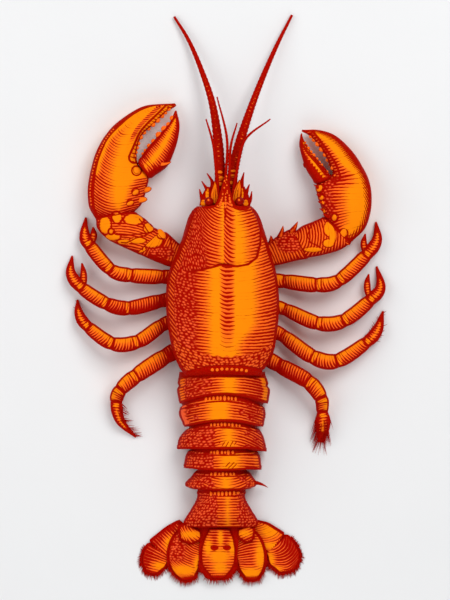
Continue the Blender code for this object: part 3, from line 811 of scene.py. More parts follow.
# How far the pointed rear corners of each ring reach behind it, left and right
CORNERS = ((0.0, 0.0), (0.0, 0.0), (0.8, 2.4), (0.4, 1.6), (0.0, 0.0), (0.0, 0.0))
# How far each ring reaches under the shell before it
LAP = 1.4
# Where the sides of each ring are nipped in, from its front, and over what length
NIPPED = ((5.8, 1.0), (0.5, 1.0), (0.5, 1.0), (0.5, 1.0), (0.5, 1.0), (0.5, 1.0))
# How far the grainy painted shade at the left side of ring 2 reaches in
SHADE_REACH = 5.8
# The long spine at the right of ring 5: its root in plan, and its tip
RING_SPINE = ((19.5, -120.2), (27.9, -123.4, 5.5))


def ring_skin(number):
    """Skin of one ring: nipped in at its sides, pointed at its rear corners and arched underneath."""
    front, *rest = TAIL_RINGS[number - 1]
    ring = ((front[0] + LAP, *front[1:]), front, *rest)
    rows = catmull([(y, left, right, top, TAIL_FLOOR, bow) for y, left, right, top, bow in ring])
    skin = loft(even(body_stations(rows, TAIL_WIDEST), ROW_STEP), outline(200, keel=4.0, upper=0.82))
    across, share = skin.across, skin.along / skin.length
    corner = step(0.72, 1.0, np.abs(across)) * step(0.4, 1.0, share)
    skin.points[..., 1] -= corner * np.where(across < 0, *CORNERS[number - 1])
    notch = hump(skin.along - LAP, *NIPPED[number - 1]) * step(0.62, 1.0, np.abs(across))
    skin.points[..., 0] -= 1.1 * np.sign(across) * notch
    below = np.clip((TAIL_WIDEST - skin.z) / (TAIL_WIDEST - TAIL_FLOOR), 0, 1)
    skin.points[..., 2] += below * 4.6 * (1 - share) ** 1.6
    return skin


def make_tail_ring(number, sizes):
    """One ring of the tail, with its row of beads."""
    skin = ring_skin(number)
    ahead, behind = skin.along - LAP, skin.length - skin.along
    leftward = skin.across < 0
    upper = step(-0.1, 0.15, skin.up)
    first = number == 1
    x, y = skin.x, skin.y
    girdle = np.abs(x - 1.0) / 14
    tucked = step(1.9, 1.2, ahead) if first else step(3.3 - 0.9 * girdle, 2.5 - 0.9 * girdle, ahead)
    fold = hump(ahead, 3.4, 0.6) * (0.0 if first else 1.0)
    lip = hump(behind, 1.8, 0.9) * upper
    girth = np.arctan2(skin.up * 28.0, skin.across * 26.0) * 27.0
    dot = dots(girth, y, sizes.grain_pitch, 11 + number, 1.5)
    middle, half, grain_left, grain_right, lobe_left, lobe_right, fall = RING_LOOKS[number - 1]
    off = np.abs(x - middle)
    reach = 5.2 if number == 6 else 7.6
    # The red deepens away from the crown's painted highlight, as painted shade towards the sides
    tone = 0.50 * ramp(half - 2.2, half - 2.2 + reach, off) + 0.26 * ramp(half + 6, half + 16, off)
    patchy = 0.24 * np.sin(x * 0.55 + number) * np.sin(y * 0.8 + 2.0 * number)
    beside = ramp(half + 3.5, half + 8.0, off) * np.where(x < middle, grain_left, grain_right)
    grain = step(0.40, 0.56, beside + patchy)
    tone += (0.92 - tone) * grain
    # Side lobes lit as painted highlights
    lobe = step(5.6, 3.4, skin.inset) * upper * np.where(leftward, lobe_left, lobe_right)
    tone *= 1 - lobe
    grain *= 1 - step(0.2, 0.5, lobe)
    # Painted shade over the left side of ring 2, with grains
    if number == 2:
        left_shade = step(SHADE_REACH, SHADE_REACH - 1.2, skin.inset + 1.8 * comb(y, 2.4)) * upper * leftward
        tone += (0.9 - tone) * left_shade
        grain, dot = np.maximum(grain, left_shade), np.maximum(dot, left_shade)
    skin.lift(-0.6 * tucked * upper - 0.5 * fold * upper + 0.40 * lip + 0.22 * dot * grain * upper)
    ticks = creases(skin, RING_TICKS.get(number, ()), 0.34)
    # Painted shade where the ring tucks under the one before, along its fold and rear edge, along its side
    # edges and in the ticks
    edge = DARK * np.maximum.reduce((
        tucked * upper, fold * upper, step(1.7, 0.9, behind), shaded_rim(skin, 1.6), ticks))
    line = (y + fall * (x - middle) ** 2 + 300) / (sizes.stroke_pitch * 0.66)
    tone = tone * (0.35 + 0.65 * upper) + 0.2 * (1 - upper)
    skin.mark(tone=tone, grain=grain, dot=dot, edge=edge, line=line)
    piece = Piece().add(skin)
    if not first:
        add_ring_beads(piece, skin, number)
    if number == 5:
        root, tip = RING_SPINE
        point, _ = skin.perch(*root, lowest=-0.3)
        piece.add(horn(point + np.array((-1.5, 0.5, 0.0)), tip, 1.5, (0.2, 1.6, 0.4)))
    piece.finish(f"tail_plate_{number}", "shell", f"tail_ring_{number}")


# Left end, right end and length of the beads of each row
BEAD_ROWS = {2: (-11.8, 9.0, 1.8), 3: (-8.4, 11.0, 1.5), 4: (-8.6, 7.6, 1.7), 5: (-8.4, 8.0, 1.5),
             6: (-8.6, 10.4, 2.0)}


def add_ring_beads(piece, skin, number):
    """The row of pale beads where a ring comes out from under the one before."""
    row = int(np.argmin(np.abs(skin.along[:, 0] - LAP - 1.7)))
    over = skin.up[row] > 0.3
    crown, normals = skin.points[row][over], skin.normals()[row][over]
    first, last, long = BEAD_ROWS[number]
    draw = random.Random(number)
    x = first
    while x < last:
        spot = int(np.argmin(np.abs(crown[:, 0] - x)))
        radius = draw.uniform(0.72, 1.0)
        bead = knob(crown[spot], normals[spot], radius, 0.5, 12, 6, long * draw.uniform(0.8, 1.15))
        piece.add(bead.mark(tone=0.34, edge=bead.marks["edge"]))
        x += 2 * radius + draw.uniform(0.45, 0.8)


# Tail fan

# Along each blade: x, y, z, half width and half thickness
BLADES = {
    "telson": (
        (-3.0, -149.6, 9.4, 6.4, 2.6), (-3.4, -157.0, 8.8, 9.6, 2.8), (-4.0, -165.5, 7.4, 11.0, 2.4),
        (-4.0, -173.5, 6.2, 9.8, 1.8), (-4.0, -180.0, 5.4, 4.8, 1.0)),
    "blade_base_left": (
        (-20.4, -148.8, 9.4, 5.4, 1.6), (-22.2, -152.6, 9.4, 7.6, 1.9), (-24.2, -156.4, 8.8, 4.6, 1.2)),
    "blade_base_right": (
        (12.4, -148.8, 9.4, 3.8, 1.6), (13.8, -152.4, 9.4, 5.4, 1.9), (15.4, -156.0, 8.8, 3.2, 1.2)),
    "inner_blade_left": (
        (-20.6, -151.6, 5.4, 5.6, 1.5), (-23.8, -158.4, 5.2, 9.4, 1.7), (-25.4, -167.0, 4.6, 10.6, 1.7),
        (-24.8, -175.0, 3.9, 9.0, 1.5), (-23.6, -181.0, 3.4, 4.6, 0.9)),
    "inner_blade_right": (
        (12.6, -151.6, 5.4, 4.6, 1.5), (15.2, -158.4, 5.2, 8.0, 1.7), (16.8, -167.0, 4.6, 9.2, 1.7),
        (17.4, -175.0, 3.9, 7.8, 1.5), (17.6, -181.0, 3.4, 4.2, 0.9)),
    "outer_blade_left": (
        (-27.8, -148.2, 2.3, 3.4, 1.2), (-32.4, -153.2, 2.2, 5.6, 1.4), (-37.5, -158.7, 2.2, 6.8, 1.4),
        (-41.4, -162.8, 2.2, 7.6, 1.2)),
    "outer_tip_left": (
        (-41.8, -163.6, 1.9, 7.8, 1.2), (-44.0, -168.0, 1.9, 8.3, 1.3), (-45.6, -172.8, 1.8, 7.3, 1.1),
        (-46.6, -177.0, 1.7, 4.2, 0.7)),
    "outer_blade_right": (
        (19.4, -147.4, 2.3, 2.9, 1.2), (23.2, -151.0, 2.2, 5.8, 1.4), (28.2, -155.6, 2.2, 7.2, 1.4),
        (32.6, -159.1, 2.2, 7.7, 1.2)),
    "outer_tip_right": (
        (33.1, -159.8, 1.9, 8.6, 1.2), (36.6, -164.4, 1.9, 9.8, 1.3), (38.8, -170.2, 1.8, 9.8, 1.1),
        (40.2, -175.8, 1.7, 5.8, 0.7)),
}
# The two sunken marks on the telson, darkened as painted shade: x and y
TELSON_MARKS = ((-6.5, -162.5), (1.6, -162.5))
# The painted highlights of each blade: x, y and the half sizes along both
BLADE_HIGHLIGHTS = {
    "telson": ((-2.6, -155.5, 1.6, 5.5), (-3.2, -167.4, 6.2, 4.6), (-2.8, -174.5, 4.6, 3.4),
               (-10.4, -161.7, 2.2, 5.2), (4.8, -161.7, 2.2, 5.2)),
    "blade_base_left": ((-21.5, -153.2, 6.8, 2.4),),
    "blade_base_right": ((13.0, -152.4, 4.2, 2.2),),
    "inner_blade_left": ((-26.4, -176.4, 8.4, 3.2), (-17.4, -173.6, 2.4, 6.0)),
    "inner_blade_right": ((22.8, -167.0, 2.8, 9.0), (16.8, -178.0, 8.0, 2.8)),
    "outer_blade_left": ((-35.0, -159.4, 3.2, 4.6),),
    "outer_tip_left": ((-41.4, -173.8, 4.4, 2.6),),
    "outer_blade_right": ((29.0, -151.4, 5.6, 4.4), (29.6, -160.8, 6.0, 2.2)),
    "outer_tip_right": ((29.4, -170.0, 2.6, 5.0), (32.0, -175.8, 4.6, 1.8)),
}
# How deep the painted shade over the outer half of each outer blade is
BLADE_SHADE = {"outer_blade_left": 0.24, "outer_tip_left": 0.20, "outer_tip_right": 0.24}
# How the strokes of each blade bend: towards both edges, and towards the left one only
BLADE_BENDS = {
    "inner_blade_left": (0.0, 3.4), "outer_blade_right": (0.0, 2.6), "outer_tip_right": (4.6, 0.0),
    "blade_base_left": (0.0, 1.6),
}
# How far the skirt under a blade stands out from it
SKIRT = 1.3
# Least half widths of a skirt at these shares of its length
SKIRT_SHARES = (0.0, 0.82, 1.0)
TELSON_SKIRT = (12.6, 12.4, 8.4)
NO_SKIRT = (0.0, 0.0, 0.0)


def make_blade(name, sizes):
    """One blade of the tail fan, with its skirt and bristles."""
    rows = even(limb_stations(catmull(BLADES[name])), ROW_STEP)
    skin = loft(domed(rows, 1.8), outline(100, crown=2.4, keel=2.4, upper=0.68))
    share = skin.along / skin.length
    ahead, behind = skin.along, skin.length - skin.along
    eastward = -skin.across  # the blades point backwards, so the right of the animal is at their left
    upper = upper_side(skin)
    rib = 0.6 * hump(eastward, 0.0, 0.10)
    rib = rib + 0.5 * hump(eastward, -0.5, 0.07) + 0.5 * hump(eastward, 0.5, 0.07)
    skin.lift(0.35 * rib * upper * band(share, 0.1, 0.85, 0.08))
    light = highlight_mask(skin, BLADE_HIGHLIGHTS[name], 1.9)
    outward = step(-0.1, 0.75, skin.across * (1 if name.endswith("left") else -1))
    tone = 0.62 * (1 - light) + BLADE_SHADE.get(name, 0.0) * outward * (1 - light)
    grain = step(0.1, -0.2, eastward) * step(0.66, 0.52, share) * (name == "inner_blade_left")
    tone += (0.88 - tone) * grain
    dot = dots(skin.x, skin.y, sizes.grain_pitch * 0.9, 61, 1.4)
    broad = name.startswith(("telson", "inner"))
    end = (3.0 if broad else 1.8) - 1.5 * comb(skin.x + 0.2 * skin.y, 1.3)
    # Painted shade along the side edges and where the blade comes out from under the part before, with the
    # dark band under the bristles
    edge = DARK * np.maximum.reduce((
        shaded_rim(skin, 0.75), step(end + 0.4, end - 0.4, behind), step(1.2, 0.4, ahead)))
    if name == "telson":
        for x, y in TELSON_MARKS:
            lower = skin.y - y - 0.10 * (skin.x - x) ** 2
            far = np.hypot((skin.x - x) / 3.0, lower / np.where(lower > 0, 2.8, 1.3))
            edge = np.maximum(edge, 0.95 * (1 - step(0.7, 1.1, far)))
            skin.lift(-0.5 * np.exp(-(far**2)) * upper)
    bend, lean = BLADE_BENDS.get(name, (0.0, 0.0))
    if name == "inner_blade_right":
        bend = 3.0 * (2 * share - 1)
    line = (ahead + bend * eastward**2 + lean * (1 - eastward) ** 2 + 20) / (sizes.stroke_pitch * 0.66)
    skin.mark(tone=tone, grain=grain, dot=dot, edge=edge, line=line)
    skirt = make_shade_skirt(rows, TELSON_SKIRT if name == "telson" else NO_SKIRT)
    piece = Piece().add(skin, skirt)
    if not name.startswith(("outer_blade", "blade_base")):
        add_fringe(piece, skirt, sizes, random.Random(name), 0.62 if broad else 0.15)
    piece.finish(name + "_plate", "fan", name)


def make_shade_skirt(rows, least):
    """A thin dark sheet of painted shade that reaches out from under a blade to its neighbours."""
    rows = rows.copy()
    middle, half = (rows[:, 0:2] + rows[:, 2:4]) / 2, (rows[:, 2:4] - rows[:, 0:2]) / 2
    size = np.linalg.norm(half, axis=1)[:, None]
    least = np.interp(np.linspace(0, 1, len(rows)), SKIRT_SHARES, least)[:, None]
    half *= np.maximum(size + SKIRT, least) / size
    rows[:, 0:2], rows[:, 2:4] = middle - half, middle + half
    rows[:, 4] = np.maximum(rows[:, 4] - 0.8, 0.9)
    rows[:, 5:7] = 0.45
    heading = (middle[0] - middle[1]) / np.linalg.norm(middle[0] - middle[1])
    first = rows[0].copy()
    first[0:2] = middle[0] - 0.75 * half[0] + 2.2 * heading
    first[2:4] = middle[0] + 0.75 * half[0] + 2.2 * heading
    skin = loft(domed(np.vstack((first, rows)), 2.6), outline(60))
    skin.lift(0.12 * np.sin(skin.across * 40.0))
    return skin.mark(tone=1.0, edge=DARK)


def add_fringe(piece, skin, sizes, draw, first):
    """Bristles round the rear of a blade, from a share of its length on."""
    left = skin.points[:, int(np.argmin(skin.across[0]))]
    right = skin.points[:, int(np.argmax(skin.across[0]))]
    start = int(len(left) * first)
    margin = np.vstack((left[start:], right[start:][::-1]))
    centre = margin.mean(axis=0)
    distance = lengths(margin)
    for place in np.arange(0.2, distance[-1], sizes.hair_spacing):
        point = np.array([np.interp(place, distance, margin[:, k]) for k in range(3)])
        away = point - centre
        direction = np.array((away[0] * 0.7, away[1] - 7.0, 0.0))
        direction /= np.linalg.norm(direction)
        rear = max(-direction[1], 0.15)
        direction[0] += draw.uniform(-0.22, 0.22)
        length = sizes.hair_length * draw.uniform(0.35, 1.10) * (0.30 + 0.70 * rear)
        root = point - direction * 1.2 + np.array((0, 0, draw.uniform(-0.3, 0.5)))
        piece.add(hair(root, direction, length + 1.2, draw.uniform(0.26, 0.46), draw.uniform(0.2, 1.2)))


# Claws

# Stations along each part: left edge x, y, right edge x, y, height of the middle, half thickness
CLAWS = {
    "left": {
        "palm": (
            (-82.8, 49.4, -57.6, 53.8, 9.6, 7.4), (-87.0, 57.0, -53.0, 59.0, 10.8, 10.2),
            (-87.6, 67.5, -50.0, 68.0, 11.3, 11.1), (-86.2, 79.0, -49.0, 76.4, 11.3, 11.1),
            (-82.6, 91.0, -56.0, 86.0, 10.8, 10.2), (-77.0, 102.0, -54.0, 100.6, 10.0, 8.4),
            (-65.4, 113.8, -45.8, 109.4, 9.0, 6.6), (-50.6, 121.7, -37.2, 117.6, 8.0, 4.6),
            (-32.4, 123.4, -31.2, 121.6, 7.0, 1.2)),
        "finger": (
            (-54.9, 86.4, -47.0, 75.4, 11.4, 8.6), (-50.4, 93.6, -37.2, 82.2, 10.8, 8.0),
            (-45.2, 99.6, -32.8, 90.8, 10.0, 6.8), (-39.8, 106.0, -29.8, 100.4, 9.2, 5.2),
            (-35.2, 111.2, -28.8, 109.6, 8.4, 3.4), (-31.9, 118.4, -30.6, 118.0, 7.6, 0.9)),
        "wrist": (
            (-82.2, 49.0, -57.4, 53.4, 10.0, 7.4), (-81.6, 43.0, -50.4, 48.8, 11.0, 9.0),
            (-75.2, 36.2, -45.9, 44.2, 11.6, 9.2), (-65.6, 31.2, -43.0, 42.6, 11.2, 8.2),
            (-57.4, 27.6, -41.6, 41.6, 10.4, 7.2)),
        "arm": (
            (-56.6, 27.4, -41.0, 41.2, 9.6, 6.8), (-50.0, 24.2, -36.8, 40.2, 8.6, 7.0),
            (-42.0, 20.8, -31.4, 35.4, 7.4, 6.4), (-33.4, 18.0, -26.0, 31.4, 7.0, 5.8),
            (-18.6, 16.0, -16.6, 28.0, 6.8, 5.6)),
    },
    "right": {
        "palm": (
            (64.0, 51.0, 81.0, 33.8, 9.6, 7.4), (61.8, 57.0, 90.0, 43.2, 10.8, 10.2),
            (59.4, 64.6, 93.8, 54.0, 11.3, 11.1), (58.8, 71.0, 94.1, 64.8, 11.3, 11.1),
            (69.0, 77.4, 92.2, 75.3, 10.8, 10.2), (67.4, 83.4, 86.8, 85.3, 10.0, 8.4),
            (63.6, 91.0, 80.2, 94.6, 9.0, 6.6), (58.4, 98.4, 71.6, 102.2, 8.2, 5.2),
            (53.2, 103.4, 61.0, 106.2, 7.6, 3.6), (49.8, 105.2, 50.4, 106.4, 7.0, 1.0)),
        "finger": (
            (57.8, 72.2, 68.2, 76.4, 11.2, 8.2), (52.6, 80.3, 65.4, 80.6, 10.6, 7.6),
            (49.8, 88.0, 60.4, 86.8, 9.8, 6.2), (47.9, 96.3, 54.4, 94.0, 8.8, 4.4),
            (48.5, 102.0, 50.9, 99.9, 7.8, 2.2), (49.0, 103.9, 49.8, 103.3, 7.2, 0.8)),
        "wrist": (
            (63.2, 50.2, 80.6, 33.2, 10.0, 7.4), (56.2, 47.2, 73.4, 28.9, 11.2, 8.8),
            (49.8, 44.6, 62.8, 25.8, 11.4, 8.6), (45.6, 41.4, 53.8, 24.2, 10.4, 7.4)),
        "arm": (
            (45.2, 41.2, 53.2, 23.8, 9.6, 7.0), (41.6, 42.4, 45.8, 22.2, 9.0, 7.4),
            (33.4, 37.8, 36.8, 20.0, 7.6, 6.6), (27.6, 33.2, 30.4, 18.8, 7.0, 5.8),
            (16.6, 28.0, 18.6, 16.0, 6.8, 5.6)),
    },
}
# How the red lies on each palm, with a painted highlight down its middle: y, width of the painted shade
# along the outer edge there, how far the strokes reach in from the outer and from the inner edge as painted
# shade, and how strong they are at each
PALM_LOOKS = {
    "left": ((50, 3.0, 19.0, 14.0, 0.66, 0.62), (58, 4.2, 20.0, 14.0, 0.62, 0.62),
             (70, 4.4, 19.0, 13.0, 0.60, 0.56), (74, 4.4, 18.0, 11.0, 0.56, 0.50),
             (77, 4.3, 17.5, 0.1, 0.56, 0.0), (86, 3.8, 16.5, 0.1, 0.54, 0.0),
             (94, 3.8, 16.0, 0.1, 0.50, 0.0), (103, 4.0, 14.5, 0.1, 0.42, 0.0),
             (110, 4.2, 12.0, 0.1, 0.20, 0.0), (122, 3.0, 4.0, 0.1, 0.0, 0.0)),
    "right": ((36, 2.2, 4.8, 10.0, 0.2, 0.60), (46, 2.4, 5.2, 22.0, 0.2, 0.62),
              (58, 2.7, 5.8, 22.5, 0.2, 0.62), (71, 3.3, 6.8, 23.0, 0.2, 0.64),
              (77.5, 3.9, 7.8, 14.0, 0.2, 0.64), (84, 4.4, 8.4, 8.6, 0.2, 0.66),
              (94, 4.3, 8.0, 6.6, 0.2, 0.68), (105, 3.0, 5.6, 4.0, 0.3, 0.70)),
}
# Where the line lies across the left palm from which its strokes bend, and how much to its left and right
PALM_BEND = (0.05, 9.5, 3.4)
# Both edges of the gap between the fingers
GAP_EDGES = {
    "left": {"palm": ((-34.9, 120.0), (-40.6, 114.2), (-47.7, 107.2), (-51.8, 102.1), (-55.4, 93.8),
                      (-57.9, 88.0)),
             "finger": ((-34.2, 114.9), (-37.4, 110.4), (-43.2, 102.7), (-48.3, 97.0), (-54.1, 89.9))},
    "right": {"palm": ((54.5, 102.7), (58.6, 97.6), (63.7, 89.9), (68.2, 82.9), (70.7, 75.8)),
              "finger": ((51.2, 98.9), (55.1, 92.5), (60.5, 86.1), (66.2, 79.0))},
}
# Size of the teeth along each edge
TEETH = {"left": {"palm": 1.65, "finger": 2.0}, "right": {"palm": 1.65, "finger": 1.2}}
# Spines of the palms' inner edges: root and tip in plan
PALM_SPINES = {
    "left": (((-50.5, 67.6), (-45.8, 68.9)), ((-53.2, 61.0), (-48.4, 61.8))),
    "right": (((60.6, 68.4), (56.8, 71.0)), ((61.4, 63.6), (58.6, 64.6)), ((62.6, 59.4), (59.6, 60.0)),
              ((63.6, 54.4), (60.6, 55.6)), ((66.0, 50.6), (62.6, 52.0))),
}
# Pale lumps on the upper faces: x, y, radius, height, length over width, and turn from +y
PALM_KNOBS = {
    "left": ((-56.2, 79.7, 2.2, 1.4, 1.1, 0), (-56.8, 66.1, 1.5, 1.1, 1.6, 55),
             (-60.2, 59.1, 1.3, 1.0, 1.9, 62), (-69.2, 50.4, 2.6, 1.3, 1.2, 20)),
    "right": ((60.9, 68.4, 1.9, 1.4, 1.4, 55), (62.2, 62.8, 1.4, 1.2, 1.4, 70),
              (62.9, 59.4, 1.1, 1.0, 1.2, 60), (63.8, 54.4, 1.4, 1.1, 1.3, 75),
              (70.2, 50.0, 1.6, 1.1, 1.5, 30), (76.0, 39.6, 2.1, 1.0, 1.6, 20)),
}
# The spine at the root of the left finger, root and tip in plan, and the lump beside the right one
FINGER_SPINE = ((-39.6, 83.6), (-34.0, 85.6))
FINGER_LUMP = (50.6, 83.2)
# How far a part runs on into the one that it meets
TUCK = 1.5


def bent_line(skin, middle, left, right, pitch):
    """Number of the stroke at each point of a limb whose strokes bend away from its light band."""
    off = skin.across - middle
    bend = left * np.minimum(off, 0) ** 2 + right * np.maximum(off, 0) ** 2
    return (skin.along - bend + 60) / pitch


def creases(skin, lines, width=0.5):
    """Mask of creases along lines in plan, sunk a little into the upper side and darkened where it is used,
    as painted shade.
    """
    mask = np.zeros(skin.x.shape)
    for line in lines:
        mask = np.maximum(mask, hump(distance_to(skin.x, skin.y, line), 0, width))
    mask *= upper_side(skin)
    skin.lift(-0.4 * mask)
    return mask


def swelling(skin, places):
    """How near each point is to soft places on the upper side, 1 at their rims: x, y, half sizes."""
    nearest = np.full(skin.x.shape, FAR)
    for x, y, wide, long in places:
        nearest = np.minimum(nearest, np.hypot((skin.x - x) / wide, (skin.y - y) / long))
    return nearest + 9 * step(0.1, -0.1, skin.up)


def spots(skin, places):
    """Mask of soft round places on the upper side: x, y and the half sizes along both."""
    return 1 - step(0.75, 1.1, swelling(skin, places))


def tucked_row(row, neighbour):
    """A smaller row beyond an end row, to hide inside the part that it meets."""
    middle, before = (row[0:2] + row[2:4]) / 2, (neighbour[0:2] + neighbour[2:4]) / 2
    shift = (middle - before) / np.linalg.norm(middle - before) * TUCK
    row = row.copy()
    row[0:2] += shift + (middle - row[0:2]) * 0.12
    row[2:4] += shift + (middle - row[2:4]) * 0.12
    row[5] *= 0.86
    return row


def claw_skin(side, part, spacing, columns):
    """Skin of one part of a claw or its arm, with ends that hide in its neighbours."""
    rows = catmull(CLAWS[side][part])
    ends = [tucked_row(rows[-1], rows[-3])] if part in ("wrist", "arm") else []
    rows = np.vstack([tucked_row(rows[0], rows[2]), rows, *ends])
    rows = even(edge_stations(rows), spacing)
    return loft(domed(rows, 0.5), outline(columns, crown=2.2, keel=2.6, upper=0.66))


def teeth_shade(skin, from_gap):
    """Mask of the painted shade in a line behind the teeth of a gap, and in the clefts between their roots.
    """
    cleft = step(0.62, 0.78, comb(skin.along, 2.4)) * step(2.6, 2.2, from_gap)
    return np.maximum.reduce((band(from_gap, 2.5, 3.9, 0.3), cleft, step(0.7, 0.3, from_gap)))


def add_teeth(piece, skin, side, part):
    """Blunt teeth along one edge of the gap, largest in the middle."""
    draw = random.Random(part + side)
    size = TEETH[side][part]
    path = catmull(GAP_EDGES[side][part], 8)
    distance = lengths(path)
    place = 1.0
    while place < distance[-1]:
        share = place / distance[-1]
        radius = size * (0.60 + 0.48 * math.sin(math.pi * min(share + 0.10, 1.0))) * draw.uniform(0.85, 1.15)
        x, y = (float(np.interp(place, distance, path[:, k])) for k in (0, 1))
        point, normal = skin.perch(x, y, lowest=-0.35, highest=0.75)
        flat = np.array((normal[0], normal[1], 0.0)) / max(math.hypot(normal[0], normal[1]), 1e-6)
        root = point - flat * radius * 0.35 + np.array((0, 0, draw.uniform(0.2, 0.9)))
        tooth = knob(root, flat + np.array((0, 0, 0.2)), radius, radius * 1.15, sides=12, rows=8)
        piece.add(tooth.mark(tone=0.36, edge=tooth.marks["edge"]))
        place += radius * 2.25


def add_palm_spines(piece, skin, side):
    """Blunt lumps along the left palm's inner edge, or sharp spines along the right one's."""
    for (x, y), tip in PALM_SPINES[side]:
        root, _ = skin.perch(x, y, lowest=-0.1, highest=0.8)
        tip = np.array((*tip, root[2] + 1.6))
        if side == "left":
            lump = knob(root, tip - root, 2.0, 0.8 * np.linalg.norm(tip - root), 16, 14)
            # Painted shade on the lump's end and along its sides
            end, sides = step(tip[0] - 1.9, tip[0] - 0.9, lump.x), step(0.80, 0.95, np.abs(lump.across))
            piece.add(lump.mark(tone=0.25, edge=np.maximum(0.95 * end, 0.9 * sides)))
        else:
            spine = horn(root - 0.3 * (tip - root), tip, 1.5, (0, 0, 0.5))
            # Painted shade along the spine's sides
            piece.add(spine.mark(tone=0.5, edge=0.3 + 0.65 * step(0.1, 0.5, np.abs(spine.across))))


def make_palm(side, sizes):
    """The palm of one claw, with its fixed finger."""
    skin = claw_skin(side, "palm", 0.52, 170)
    share = skin.along / skin.length
    a = skin.across * SIDES[side]  # 1 on the outer edge, -1 on the inner
    outer, inner = skin.half * (1 - a), skin.half * (1 + a)
    left = side == "left"
    upper = upper_side(skin)
    places, *looks = np.transpose(PALM_LOOKS[side])
    width, out_reach, in_reach, out_tone, in_tone = (np.interp(skin.y, places, row) for row in looks)
    tone = out_tone * ramp(out_reach, 0.45 * out_reach, outer)
    tone = np.maximum(tone, in_tone * ramp(in_reach, 0.5 * in_reach, inner))
    from_gap = distance_to(skin.x, skin.y, catmull(GAP_EDGES[side]["palm"], 3)[:, :2])
    if left:
        tone *= 1 - step(74, 80, skin.y) * (1 - ramp(0.5, 4.0, outer - width))
        tone = np.maximum(tone, 0.52 * band(from_gap, 4.4, 7.0, 0.6) * step(0.50, 0.58, share))
    # Deeper at the root, as painted shade where the palm meets the wrist, and paler underneath
    tone = (tone + 0.25 * step(6.0, 2.0, skin.along)) * (0.4 + 0.6 * upper)
    inner_part = step(10.5, 8.5, inner + 1.2 * np.sin(skin.along * 0.8)) * band(skin.y, 50, 74, 3)
    grain = inner_part * (not left)
    dot = dots(skin.x, skin.y, 1.9, 31, 1.3, rim=(0.28, 0.70))
    tone = tone + (0.9 - tone) * grain
    rim = hump(outer, 2.2, 0.9) * upper * step(95, 86, skin.y) * left
    lumps = 0.25 * np.sin(skin.along * 0.31 + 2) * np.sin(skin.across * 4.2)
    skin.lift(lumps * upper + 0.4 * rim + 0.25 * dot * grain * upper)
    ragged = 0.0 if left else 3.8 * comb(skin.along - 1.5 * outer, 2.3) - 1.0
    # Painted shade along the outer and inner edges, behind the teeth, at the root and round the knobs
    edge = DARK * np.maximum.reduce((
        step(width + 0.4, width - 0.4, outer - ragged), step(1.5, 0.7, inner), teeth_shade(skin, from_gap),
        step(2.6, 1.8, skin.along), knob_shade(skin, PALM_KNOBS[side]))) * upper
    pitch = sizes.stroke_pitch * (0.68 if left else 0.74)
    tilt = np.maximum(ramp(62, 46, skin.y), ramp(70, 84, skin.y))
    line = (skin.y - 0.33 * tilt * (skin.x - 70)) / pitch
    if left:
        line = bent_line(skin, *PALM_BEND, pitch)
    skin.mark(tone=tone, grain=grain, dot=dot, edge=edge, line=line)
    piece = Piece().add(skin)
    add_teeth(piece, skin, side, "palm")
    add_palm_spines(piece, skin, side)
    add_knobs(piece, skin, PALM_KNOBS[side])
    if left:
        add_rim_beads(piece, skin, outer)
    piece.finish(f"claw_palm_{side}", "claw", f"claw_{side}")


def add_knobs(piece, skin, knobs):
    """Pale lumps on an upper face."""
    for x, y, radius, height, long, turn in knobs:
        point, normal = skin.perch(x, y)
        piece.add(knob(point, normal, radius, height, 20, 9, long, math.radians(turn)))


def add_rim_beads(piece, skin, outer):
    """Small pale beads in the painted shade along the outer edge of the left palm."""
    normals = skin.normals()
    last = int(len(skin.points) * 0.60)
    for place in np.arange(9.0, skin.along[last, 0], 1.8):
        row = int(np.searchsorted(skin.along[:, 0], place))
        column = int(np.argmin(np.abs(outer[row] - 2.2) + 9 * (skin.up[row] < 0)))
        bead = knob(skin.points[row, column], normals[row, column], 0.6, 0.45, sides=8, rows=6)
        piece.add(bead.mark(tone=0.5, edge=0.5 * bead.marks["edge"]))


